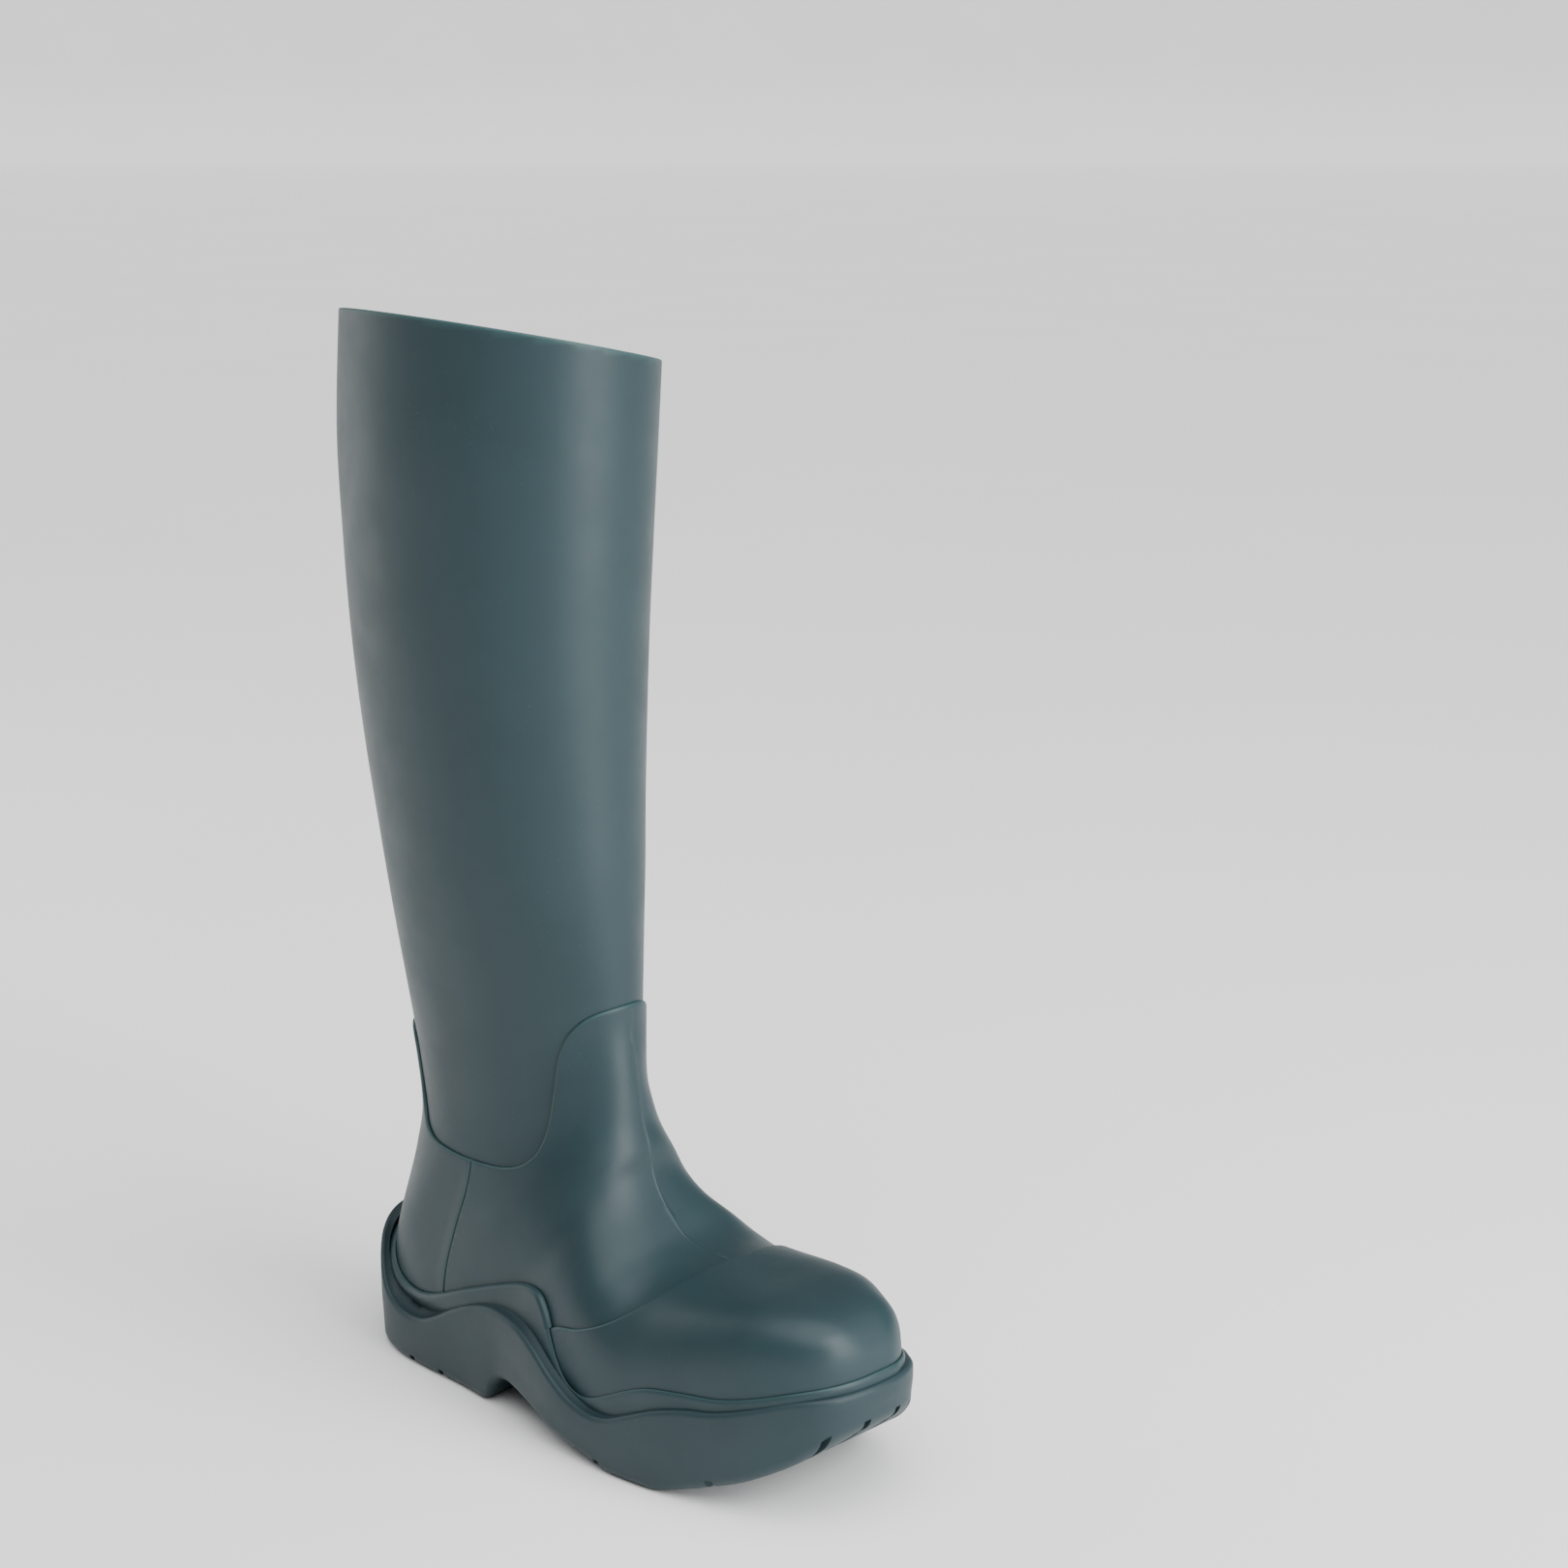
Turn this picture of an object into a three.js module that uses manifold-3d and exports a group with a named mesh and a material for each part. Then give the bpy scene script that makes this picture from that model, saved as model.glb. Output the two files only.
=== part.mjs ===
// A knee-high rubber rain boot for the right foot, built from the sheets, strips and
// soles it is laid up from. Millimetres, +X to the toe, +Y to the medial side, +Z up.
import * as THREE from "three";
import { mergeVertices } from "three/addons/utils/BufferGeometryUtils.js";
import Module from "manifold-3d";

const wasm = await Module();
wasm.setup();

// Driving dimensions.
const LENGTH_SCALE = 1.0; // stretches the boot from heel to toe
const WIDTH_SCALE = 1.0; // stretches it from side to side
const SHAFT_HEIGHT = 457; // rim height on the centre plane
const RIM_SLOPE = 0.215; // the rim rises this much per mm towards the lateral side
const RIM_FALL = 0.02; // and falls this much per mm towards the toe
const ROUND = 22; // facets round the boot
const SECTIONS = 31; // sections from the toe to the rim
const PLAN_STEPS = 30; // facets along each side of the sole
const RIM_MIDDLE = -70; // where the rim is at its stated height
const GAP = 0.3; // glue line between neighbouring pieces

// Layers, as distances out from the surface of the bare leg of the boot.
const LEG_SHEET = 2.0;
const FOOT_SHEET_PROUD = 1.5;
const TOE_CAP_THICK = 1.3;
const RAND_THICK = 2.8;
const STIFFENER_THICK = 1.5;
const LEG_LINING_THICK = 1.0;
const FOOT_LINING_THICK = 2.8;
const QUARTER_LAP_THICK = 1.4;

// Laps between pieces.
const LEG_LAP = 9; // the leg sheet runs this far down inside the foot sheets
const QUARTER_LAP = 7; // the heel quarter covers this much of the vamp
const TOE_CAP_LAP = 8; // the rand covers this much of the toe cap
const RAND_DEPTH = 11; // the rand runs this far down inside the outsole lip
const LINING_BACKSET = 0.8; // the lining stops this far below the rim

// Sole and insole.
const BOARD_RISE = 4.5; // the insole board turns up this far at its edge
const FOOTBED_THICK = 4.6;
const FOOTBED_COVER_THICK = 0.8;
const FOOTBED_GAP = 0.3;
const FILLER_INSET = 17; // solid rubber wall round the filler, in plan
const FILLER_FLOOR = 5; // rubber left under the filler
const SHANK_WIDTH = 15;
const SHANK_THICK = 1.3;
const SHANK_BACK = -96;
const SHANK_FRONT = 18;
const SHANK_COVER = 0.6; // filler left over the shank
const GROOVE_WIDTH = 3.4;
const GROOVE_DEPTH = 3.8;
const TREAD_SNAP = 0.4; // tread lower than this lies flat on the ground

const OUT_FOOT = FOOT_SHEET_PROUD;
const IN_SHEET = -LEG_SHEET;
const OUT_CAP = OUT_FOOT + GAP + TOE_CAP_THICK;
const IN_RAND = OUT_FOOT + GAP;
const OUT_RAND = IN_RAND + RAND_THICK;
const OUT_STIFFENER = IN_SHEET - GAP;
const IN_STIFFENER = OUT_STIFFENER - STIFFENER_THICK;
const IN_LEG_LINING = OUT_STIFFENER - LEG_LINING_THICK;
const IN_FOOT_LINING = OUT_STIFFENER - FOOT_LINING_THICK;

// Bottom of the foot, heel to toe, in the side view.
const BED_LINE = [
  [-160, 24], [-128, 23], [-102, 23], [-74, 24.5], [-46, 27], [-20, 26.5], [4, 22.5],
  [26, 17], [44, 13.5], [60, 12], [78, 13.5], [95, 17.5], [110, 22.5], [122, 27.5],
  [131, 33.5], [136, 38.5], [140, 44], [150, 52],
];

// Upright sections of the foot from the toe back: x, top z, lateral y, medial y.
const FOOT_SECTIONS = [
  [139.8, 64, -9.5, 7], [138.6, 70.5, -16, 10.5], [135.5, 76, -23.5, 16],
  [130, 79.5, -30, 21.5], [120, 81.8, -36.5, 27.5], [106, 82.4, -42.5, 35.5],
  [88, 81.2, -47, 43], [68, 80.4, -51, 49.5], [46, 79.8, -53, 54],
];

// Leaning sections over the instep, round the heel and up the leg:
// front x and z, back x and z, lateral half width, medial half width.
const LEG_SECTIONS = [
  [31, 82.6, 26, 17, 53, 51.5], [22, 89.2, 4, 22.5, 51.5, 48], [14.5, 97.5, -20, 26.5, 48, 42],
  [9.5, 107.5, -46, 27, 44.5, 38.5], [7.5, 119, -74, 24.5, 44, 37],
  [4, 129, -102, 23, 43, 36], [2, 139, -125, 24.5, 40.5, 34],
  [0.3, 148, -136, 36, 38.5, 32], [-1, 155.5, -138, 52, 37.5, 32],
  [-2.2, 163, -135.5, 69, 36.5, 32.5], [-3.3, 172, -130, 87, 36, 33],
  [-3.5, 183, -125.5, 106, 36.5, 33], [-3.2, 198, -126, 131, 39.5, 34],
  [-2.8, 217, -128.5, 162, 44.5, 36], [-2.3, 240, -132, 198, 50, 38.5],
  [-2, 267, -136.5, 238, 54.5, 40.5], [-1.2, 300, -141.5, 282, 59, 43],
  [0.5, 338, -145.5, 328, 62.5, 45], [3, 380, -148, 374, 64.5, 47],
  [5.5, 422, -148.5, 420, 66, 49], [8.5, 480, -144.5, 480, 65, 50.5],
];
const TOE_TIP = [140.4, -0.5, 51.5];
const TOE_POWER = 4; // how square the toe is across its top; 2 is round

// Sole outline in plan: x, lateral y, medial y.
const SOLE_PLAN = [
  [-148, -3, -1], [-146.5, -13, 9], [-142.5, -24, 19], [-135, -34.5, 28], [-124, -43, 35],
  [-108, -48, 39], [-88, -49.5, 40.5], [-64, -50, 41.5], [-40, -52.5, 43.5], [-16, -57, 47.5],
  [8, -61, 54], [30, -61.5, 58], [52, -60.5, 59.5], [74, -57.5, 56], [94, -53, 50.5],
  [110, -48.5, 44.5], [122, -42.5, 37.5], [132, -36.5, 29.8], [139, -31, 24.3], [144, -23, 16.5],
  [146.6, -10.5, 7.5], [147.2, -1.5, 0],
];

// Lip of the outsole, underside of the outsole and top edge of the rand, in the side view.
const LIP_LINE = [
  [-156, 58], [-148, 56.5], [-138, 50], [-128, 38], [-118, 28], [-106, 24], [-92, 24],
  [-80, 29], [-68, 36], [-54, 42.5], [-40, 46.5], [-27, 47.5], [-14, 46], [-2, 41], [10, 33.5],
  [22, 27], [33, 24.5], [43, 25.5], [56, 31], [70, 37], [84, 40.8], [97, 43], [112, 47.5],
  [128, 53], [140, 55.5], [156, 57],
];
const UNDER_LINE = [
  [-156, 2], [-148, 1], [-142, 0], [-60, 0], [-47, 0.2], [-43, 3], [-39, 9.5], [-34, 14],
  [-26, 15.5], [-12, 13.5], [2, 9.5], [18, 5.8], [33, 2.6], [39, 0.9], [44, 0], [67, 0],
  [72, 1], [78, 3], [86, 5.7], [96, 9.2], [107, 13.4], [118, 18.8], [128, 25], [136, 31.5],
  [142, 36.5], [156, 43],
];
const RAND_LINE = [
  [-156, 60], [-148, 58.5], [-138, 52.5], [-129, 43.5], [-118, 36.5], [-106, 33.5], [-94, 34.5],
  [-80, 39], [-66, 45], [-50, 51.5], [-36, 57], [-24, 61], [-14, 62.5], [-6, 61.5], [0, 56],
  [5, 47], [10, 38], [15, 32], [22, 29], [30, 29.5], [40, 33.5], [52, 39.5], [64, 44], [80, 46.5],
  [97, 48.3], [112, 52], [128, 57], [140, 60], [156, 61.5],
];

// Lower edge of the leg sheet, drawn as the top edge of the foot sheets in the side view.
const COLLAR_LINE = [
  [-170, 152.5], [-123, 152.5], [-117, 150.5], [-113.5, 145], [-112.5, 134], [-110.5, 122],
  [-105, 112], [-96, 106.3], [-82, 104.3], [-60, 103.8], [-45, 105.2], [-34, 109],
  [-27, 115.5], [-23.5, 126], [-22, 142], [-20.5, 158], [-16.5, 169], [-9.5, 177], [0, 181.5],
  [30, 183],
];

// Rear edge of the toe cap and front edge of the heel quarter, in the side view.
const CAP_LINE = [
  [-14, 20], [-8, 40], [5, 51.5], [21, 56], [34, 61], [45, 67.5], [53, 74], [58.5, 81], [60.5, 86],
  [61, 110],
];
const QUARTER_LINE = [
  [-83.5, -20], [-79.5, 30], [-76.5, 52], [-71, 74], [-66, 92], [-62.5, 130], [-62.5, 300],
];

const PUFF_BACK = 98; // the toe puff reaches back to here
const COUNTER_FRONT = -88; // and the heel counter forward to here
const COUNTER_TOP = 88;
const LINING_JOIN = 128; // height where the leg lining meets the foot lining

const wide = (y) => y * WIDTH_SCALE;
const long = (x) => x * LENGTH_SCALE;

// A smooth line through the given points, as THREE.Vector2 samples.
function smooth(points, count) {
  const knots = points.map(([x, z]) => new THREE.Vector3(long(x), z, 0));
  const curve = new THREE.CatmullRomCurve3(knots, false, "centripetal");
  return curve.getPoints(count).map((p) => new THREE.Vector2(p.x, p.y));
}

// Height of a smooth side-view line at x.
function heightOn(line, x) {
  let i = 1;
  while (i < line.length - 1 && line[i].x < x) i += 1;
  const a = line[i - 1];
  const b = line[i];
  const t = THREE.MathUtils.clamp((x - a.x) / (b.x - a.x), 0, 1);
  return a.y + (b.y - a.y) * t;
}

const bedLine = smooth(BED_LINE, 20);
const lipLine = smooth(LIP_LINE, 32);
const underLine = smooth(UNDER_LINE, 42);
underLine.forEach((p) => p.setY(p.y < TREAD_SNAP ? 0 : p.y));
const randLine = smooth(RAND_LINE, 34);
const collarLine = smooth(COLLAR_LINE, 30);
const capLine = smooth(CAP_LINE, 18);
const quarterLine = smooth(QUARTER_LINE, 8);

// ---- solids ----------------------------------------------------------------------------

function toManifold(geometry) {
  const bare = geometry.clone();
  bare.deleteAttribute("normal");
  bare.deleteAttribute("uv");
  const merged = mergeVertices(bare, 1e-4);
  const mesh = new wasm.Mesh({
    numProp: 3,
    vertProperties: new Float32Array(merged.attributes.position.array),
    triVerts: new Uint32Array(merged.index.array),
  });
  return new wasm.Manifold(mesh);
}

function toGeometry(solid) {
  const mesh = solid.getMesh();
  const geometry = new THREE.BufferGeometry();
  geometry.setAttribute("position", new THREE.BufferAttribute(mesh.vertProperties, 3));
  geometry.setIndex(new THREE.BufferAttribute(mesh.triVerts, 1));
  return geometry;
}

// A solid from closed rings of equal count, closed by fans or a strip at both ends.
function ringSolid(rings, closeAsStrip) {
  const count = rings[0].length;
  const positions = rings.flat().flatMap((p) => [p.x, p.y, p.z]);
  const index = [];
  for (let r = 0; r + 1 < rings.length; r += 1) {
    for (let k = 0; k < count; k += 1) {
      const a = r * count + k;
      const b = r * count + ((k + 1) % count);
      index.push(a, b, a + count, b, b + count, a + count);
    }
  }
  const last = (rings.length - 1) * count;
  if (closeAsStrip) {
    // The ring runs up one side and back down the other, so opposite points pair off.
    for (let k = 0; k + 1 < count / 2; k += 1) {
      const a = k;
      const b = k + 1;
      const c = count - 1 - k;
      const d = count - 2 - k;
      index.push(a, c, b, b, c, d);
      index.push(last + a, last + b, last + c, last + b, last + d, last + c);
    }
  } else {
    for (let k = 1; k + 1 < count; k += 1) {
      index.push(0, k + 1, k);
      index.push(last, last + k, last + k + 1);
    }
  }
  const geometry = new THREE.BufferGeometry();
  geometry.setAttribute("position", new THREE.Float32BufferAttribute(positions, 3));
  geometry.setIndex(index);
  const solid = toManifold(geometry);
  if (solid.volume() > 0) return solid;
  const turned = [];
  for (let i = 0; i < index.length; i += 3) turned.push(index[i], index[i + 2], index[i + 1]);
  geometry.setIndex(turned);
  return toManifold(geometry);
}

// A side-view outline drawn out across the whole width of the boot.
function sidePrism(outline, halfWidth = 90) {
  const shape = new THREE.Shape(outline);
  const geometry = new THREE.ExtrudeGeometry(shape, { depth: 2 * halfWidth, bevelEnabled: false });
  geometry.rotateX(Math.PI / 2);
  geometry.translate(0, halfWidth, 0);
  return toManifold(geometry);
}

// Limits well clear of the boot, for cutters.
const FAR = 700;
const UNDER_ALL = -40;
const OVER_SOLE = 90;

// Everything above a side-view line that is raised by rise, or everything below it.
function above(line, rise = 0) {
  const points = line.map((p) => new THREE.Vector2(p.x, p.y + rise));
  const ends = [new THREE.Vector2(line.at(-1).x, FAR), new THREE.Vector2(line[0].x, FAR)];
  return sidePrism([...points, ...ends]);
}

function below(line, rise = 0) {
  const points = line.map((p) => new THREE.Vector2(p.x, p.y + rise));
  const ends = [new THREE.Vector2(line.at(-1).x, -60), new THREE.Vector2(line[0].x, -60)];
  return sidePrism([...points, ...ends]);
}

// Everything to the toe side of a side-view line that climbs, moved by shift.
function toeward(line, shift = 0) {
  const points = line.map((p) => new THREE.Vector2(p.x + shift, p.y));
  const ends = [new THREE.Vector2(long(200), line.at(-1).y), new THREE.Vector2(long(200), line[0].y)];
  return sidePrism([...points, ...ends]);
}

function box(x0, x1, y0, y1, z0, z1) {
  const geometry = new THREE.BoxGeometry(x1 - x0, y1 - y0, z1 - z0);
  geometry.translate((x0 + x1) / 2, (y0 + y1) / 2, (z0 + z1) / 2);
  return toManifold(geometry);
}

// ---- the surface of the boot -------------------------------------------------------------

// One section: a superellipse between its front or top point and its back or bottom point.
function section({ front, back, lateral, medial, widest, topPower, bottomPower }) {
  const points = [];
  const middle = (medial + lateral) / 2;
  const half = (medial - lateral) / 2;
  const heart = back.clone().lerp(front, widest);
  for (let k = 0; k < ROUND; k += 1) {
    const turn = (2 * Math.PI * k) / ROUND;
    const c = Math.cos(turn);
    const s = Math.sin(turn);
    const end = c >= 0 ? front : back;
    const power = 2 / (c >= 0 ? topPower : bottomPower);
    const reach = Math.pow(Math.abs(c), power);
    const side = Math.sign(s) * Math.pow(Math.abs(s), power);
    const p = heart.clone().lerp(end, reach);
    points.push(new THREE.Vector3(p.x, middle + half * side, p.y));
  }
  return points;
}

function controlSections() {
  const list = [];
  FOOT_SECTIONS.forEach(([x, top, lateral, medial]) => {
    const square = THREE.MathUtils.lerp(2.5, TOE_POWER, THREE.MathUtils.smoothstep(x, 50, 110));
    list.push([x, top, x, heightOn(bedLine, long(x)), lateral, medial, 0.36, square, 4.6]);
  });
  LEG_SECTIONS.forEach(([fx, fz, bx, bz, lateral, medial], i) => {
    const up = THREE.MathUtils.smoothstep(i, 5, 13);
    const bottomPower = THREE.MathUtils.lerp(5.2, 2.05, THREE.MathUtils.smoothstep(i, 4, 9));
    const widest = THREE.MathUtils.lerp(0.38, 0.5, up);
    const topPower = THREE.MathUtils.lerp(2.8, 2.08, THREE.MathUtils.smoothstep(i, 0, 6));
    list.push([fx, fz, bx, bz, -lateral, medial, widest, topPower, bottomPower]);
  });
  return list;
}

// Splines run through the control sections, so a few of them shape the whole boot.
function surfaceRings(steps) {
  const control = controlSections();
  const tracks = [0, 3, 6].map((at) => {
    const knots = control.map((row) => new THREE.Vector3(row[at], row[at + 1], row[at + 2]));
    return new THREE.CatmullRomCurve3(knots, false, "catmullrom", 0.5);
  });
  const rings = [];
  for (let i = 0; i <= steps; i += 1) {
    const [a, b, c] = tracks.map((track) => track.getPoint(i / steps));
    rings.push(section({
      front: new THREE.Vector2(long(a.x), a.y),
      back: new THREE.Vector2(long(a.z), b.x),
      lateral: wide(b.y),
      medial: wide(b.z),
      widest: c.x,
      topPower: c.y,
      bottomPower: c.z,
    }));
  }
  return rings;
}

const tip = new THREE.Vector3(long(TOE_TIP[0]), wide(TOE_TIP[1]), TOE_TIP[2]);
const mainRings = surfaceRings(SECTIONS);

// A ring between the toe tip and the first section, so that the toe closes round.
function toeRing(share) {
  const bulge = Math.sqrt(1 - share * share);
  return mainRings[0].map((p) => {
    const q = tip.clone().lerp(p, share);
    q.x = p.x + (tip.x - p.x) * bulge;
    return q;
  });
}

const baseRings = [toeRing(0.35), toeRing(0.72), ...mainRings];

function ringNormal(rings, r, k) {
  const count = rings[r].length;
  const before = rings[Math.max(r - 1, 0)][k];
  const after = rings[Math.min(r + 1, rings.length - 1)][k];
  const left = rings[r][(k + count - 1) % count];
  const right = rings[r][(k + 1) % count];
  const along = after.clone().sub(before);
  const round = right.clone().sub(left);
  return round.cross(along).normalize();
}

const normals = baseRings.map((ring, r) => ring.map((_, k) => ringNormal(baseRings, r, k)));
const heart = baseRings[20].reduce((sum, p) => sum.add(p), new THREE.Vector3()).divideScalar(ROUND);
const outward = Math.sign(normals[20][0].dot(baseRings[20][0].clone().sub(heart)));

const bodies = new Map();

// The whole boot as a solid body, its surface moved outwards by offset.
function body(offset) {
  if (bodies.has(offset)) return bodies.get(offset);
  const rings = baseRings.map((ring, r) => ring.map((p, k) => {
    const moved = p.clone().addScaledVector(normals[r][k], outward * offset);
    if (r === baseRings.length - 1) moved.z = p.z;
    return moved;
  }));
  const apex = tip.clone();
  apex.x += offset;
  rings.unshift(rings[0].map(() => apex));
  const solid = ringSolid(rings, false);
  bodies.set(offset, solid);
  return solid;
}

// The space between two offsets of the surface.
const shell = (outer, inner) => body(outer).subtract(body(inner));

// ---- cutters -----------------------------------------------------------------------------

// Everything above the slanting rim, lowered by drop.
function overRim(drop = 0) {
  const geometry = new THREE.BoxGeometry(500, 400, 400);
  geometry.translate(-60, 0, 200);
  const points = geometry.getAttribute("position");
  for (let i = 0; i < points.count; i += 1) {
    const slant = RIM_SLOPE * points.getY(i) + RIM_FALL * (points.getX(i) - long(RIM_MIDDLE));
    points.setZ(i, points.getZ(i) < 1 ? SHAFT_HEIGHT - drop - slant : FAR);
  }
  return toManifold(geometry);
}

// The sole outline in plan, moved inwards by inset, as a ring of [x, y].
function planRing(inset) {
  const lateral = [];
  const medial = [];
  const knots = SOLE_PLAN.map(([x, l, m]) => new THREE.Vector3(long(x), wide(l), wide(m)));
  const track = new THREE.CatmullRomCurve3(knots, false, "catmullrom", 0.5);
  for (let i = 0; i <= PLAN_STEPS; i += 1) {
    const p = track.getPoint(i / PLAN_STEPS);
    lateral.push([p.x, p.y]);
    medial.push([p.x, p.z]);
  }
  const ring = [...lateral, ...medial.reverse()];
  const count = ring.length;
  return ring.map(([x, y], k) => {
    const [xa, ya] = ring[(k + count - 1) % count];
    const [xb, yb] = ring[(k + 1) % count];
    const run = Math.hypot(xb - xa, yb - ya);
    return [x - (inset * (yb - ya)) / run, y + (inset * (xb - xa)) / run];
  });
}

// The plan outline between two heights that may follow lines.
function planSolid(levels) {
  const rings = levels.map(({ inset, height }) =>
    planRing(inset).map(([x, y]) => new THREE.Vector3(x, y, height(x))));
  return ringSolid(rings, true);
}

const under = (rise) => (x) => heightOn(underLine, x) + rise;
const lip = (rise) => (x) => heightOn(lipLine, x) + rise;
const bed = (rise) => (x) => heightOn(bedLine, x) + rise;

// ---- pieces ------------------------------------------------------------------------------

const pieces = new THREE.Group();
pieces.name = "rubber_rain_boot";

const RUBBER = { color: 0x45646a, roughness: 0.42, metalness: 0.0 };
const SOLE = { color: 0x3f5d62, roughness: 0.5, metalness: 0.0 };
const KNIT = { color: 0x1d2b2b, roughness: 0.95, metalness: 0.0 };
const FOAM = { color: 0x8b8f86, roughness: 0.9, metalness: 0.0 };
const BOARD = { color: 0x9a7f5c, roughness: 0.9, metalness: 0.0 };
const STEEL = { color: 0x9aa0a4, roughness: 0.35, metalness: 1.0 };

function piece(name, solid, look) {
  const mesh = new THREE.Mesh(toGeometry(solid), new THREE.MeshStandardMaterial(look));
  mesh.name = name;
  pieces.add(mesh);
}

const rim = overRim();
const collarBelow = below(collarLine, -GAP / 2);
const lapAbove = above(collarLine, -LEG_LAP);
const lapBelow = below(collarLine, -LEG_LAP - GAP);

// The leg: one sheet round the calf that runs down inside the foot sheets.
const legSheet = shell(0, IN_SHEET).intersect(lapAbove).subtract(rim);
piece("leg_shaft", legSheet, RUBBER);

// Foot sheets: full thickness below the leg sheet, and only the outer part over its lap.
const fillerHole = planSolid([
  { inset: FILLER_INSET - GAP, height: () => UNDER_ALL },
  { inset: FILLER_INSET - GAP, height: bed(IN_STIFFENER + 12) },
]);
const footLower = shell(OUT_FOOT, IN_SHEET).intersect(lapBelow);
const footLap = shell(OUT_FOOT, GAP)
  .intersect(collarBelow)
  .intersect(above(collarLine, -LEG_LAP - 2 * GAP));
const footSheet = footLower.add(footLap).subtract(fillerHole);

// The heel quarter laps over the rear edge of the vamp.
const lapSplit = OUT_FOOT - QUARTER_LAP_THICK;
const vampFront = toeward(quarterLine, GAP);
const vampUnder = toeward(quarterLine, -QUARTER_LAP);
const quarterCut = toeward(quarterLine, 0);
const quarterStep = toeward(quarterLine, -QUARTER_LAP - GAP);
const vamp = footSheet
  .intersect(vampUnder)
  .subtract(shell(OUT_FOOT + 5, lapSplit - GAP).subtract(vampFront));
piece("vamp", vamp, RUBBER);
const quarter = footSheet
  .subtract(quarterCut)
  .subtract(body(lapSplit).intersect(quarterStep));
piece("heel_quarter", quarter, RUBBER);

// The toe cap lies on the vamp and runs down under the rand.
const capBottom = above(randLine, -TOE_CAP_LAP);
const cap = shell(OUT_CAP, IN_RAND).intersect(toeward(capLine)).intersect(capBottom);
piece("toe_cap", cap, RUBBER);

// The rand wraps the join, its foot inside the outsole lip.
const capRoom = body(OUT_CAP + GAP)
  .intersect(toeward(capLine, -GAP))
  .intersect(above(randLine, -TOE_CAP_LAP - GAP));
const rand = shell(OUT_RAND, IN_RAND)
  .intersect(below(randLine))
  .intersect(above(lipLine, -RAND_DEPTH))
  .subtract(capRoom)
  .subtract(fillerHole);
piece("rand", rand, RUBBER);

// The outsole is a cup: lugs below, a wavy lip above, the foot and the rand let into it.
let outsole = planSolid([
  { inset: 5.5, height: under(0) },
  { inset: 2.6, height: under(1.3) },
  { inset: 0.9, height: under(4.6) },
  { inset: 0.2, height: (x) => THREE.MathUtils.lerp(under(0)(x), lip(0)(x), 0.45) },
  { inset: 0, height: lip(-3.2) },
  { inset: 0.7, height: lip(-0.9) },
  { inset: 2.2, height: lip(0) },
]);
const randRoom = body(OUT_RAND + GAP).intersect(above(lipLine, -RAND_DEPTH - GAP));
const fillerRoom = planSolid([
  { inset: FILLER_INSET - GAP, height: under(FILLER_FLOOR - GAP) },
  { inset: FILLER_INSET - GAP, height: bed(20) },
]);
outsole = outsole.subtract(body(OUT_FOOT + GAP)).subtract(randRoom).subtract(fillerRoom);

// Grooves run right across the tread, so that they show as notches at the edge.
const GROOVES = [
  [-98, 90], [-77, 90], [38, 90], [52, 34], [67, 36], [82, 36], [96, 90], [114, 30],
];
GROOVES.forEach(([x, reach]) => {
  const from = long(x) - GROOVE_WIDTH / 2;
  const floor = heightOn(underLine, long(x)) + GROOVE_DEPTH;
  outsole = outsole.subtract(box(from, from + GROOVE_WIDTH, -wide(reach), wide(reach), -20, floor));
});
// Short grooves run out over the front of the toe.
const TOE_GROOVES = [-28, -10, 8, 22];
const TOE_GROOVE_BACK = 126;
TOE_GROOVES.forEach((y) => {
  const slot = box(long(TOE_GROOVE_BACK), long(200), wide(y) - GROOVE_WIDTH / 2,
    wide(y) + GROOVE_WIDTH / 2, UNDER_ALL, OVER_SOLE);
  outsole = outsole.subtract(slot.intersect(below(underLine, GROOVE_DEPTH)));
});
piece("outsole", outsole, SOLE);

// Filler between the outsole and the insole board, with the shank let into its top.
const shankLine = bedLine.map((p) => new THREE.Vector2(p.x, p.y));
const shankTop = -IN_SHEET - SHANK_COVER;
const strip = (grow) => box(
  long(SHANK_BACK) - grow,
  long(SHANK_FRONT) + grow,
  -SHANK_WIDTH / 2 - grow,
  SHANK_WIDTH / 2 + grow,
  UNDER_ALL,
  OVER_SOLE,
);
const shank = strip(0)
  .intersect(above(shankLine, shankTop - SHANK_THICK))
  .intersect(below(shankLine, shankTop));
const filler = planSolid([
  { inset: FILLER_INSET, height: under(FILLER_FLOOR) },
  { inset: FILLER_INSET, height: bed(20) },
])
  .intersect(below(bedLine, -IN_SHEET))
  .subtract(body(IN_SHEET))
  .subtract(strip(GAP).intersect(above(shankLine, shankTop - SHANK_THICK - GAP)));
piece("midsole_filler", filler, FOAM);
piece("shank", shank, STEEL);

// Insole board, toe puff and heel counter share one layer.
const stiffener = shell(OUT_STIFFENER, IN_STIFFENER);
const uprightLine = (x) => [new THREE.Vector2(x, UNDER_ALL), new THREE.Vector2(x, 300)];
const puffBand = toeward(uprightLine(long(PUFF_BACK)));
const board = stiffener.intersect(below(bedLine, BOARD_RISE));
const puff = stiffener.intersect(above(bedLine, BOARD_RISE + GAP)).intersect(puffBand);
const counterZone = box(-300, long(COUNTER_FRONT), -90, 90, -60, COUNTER_TOP);
const counter = stiffener.intersect(above(bedLine, BOARD_RISE + GAP)).intersect(counterZone);
piece("insole_board", board, BOARD);
piece("toe_puff", puff, BOARD);
piece("heel_counter", counter, BOARD);

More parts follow.
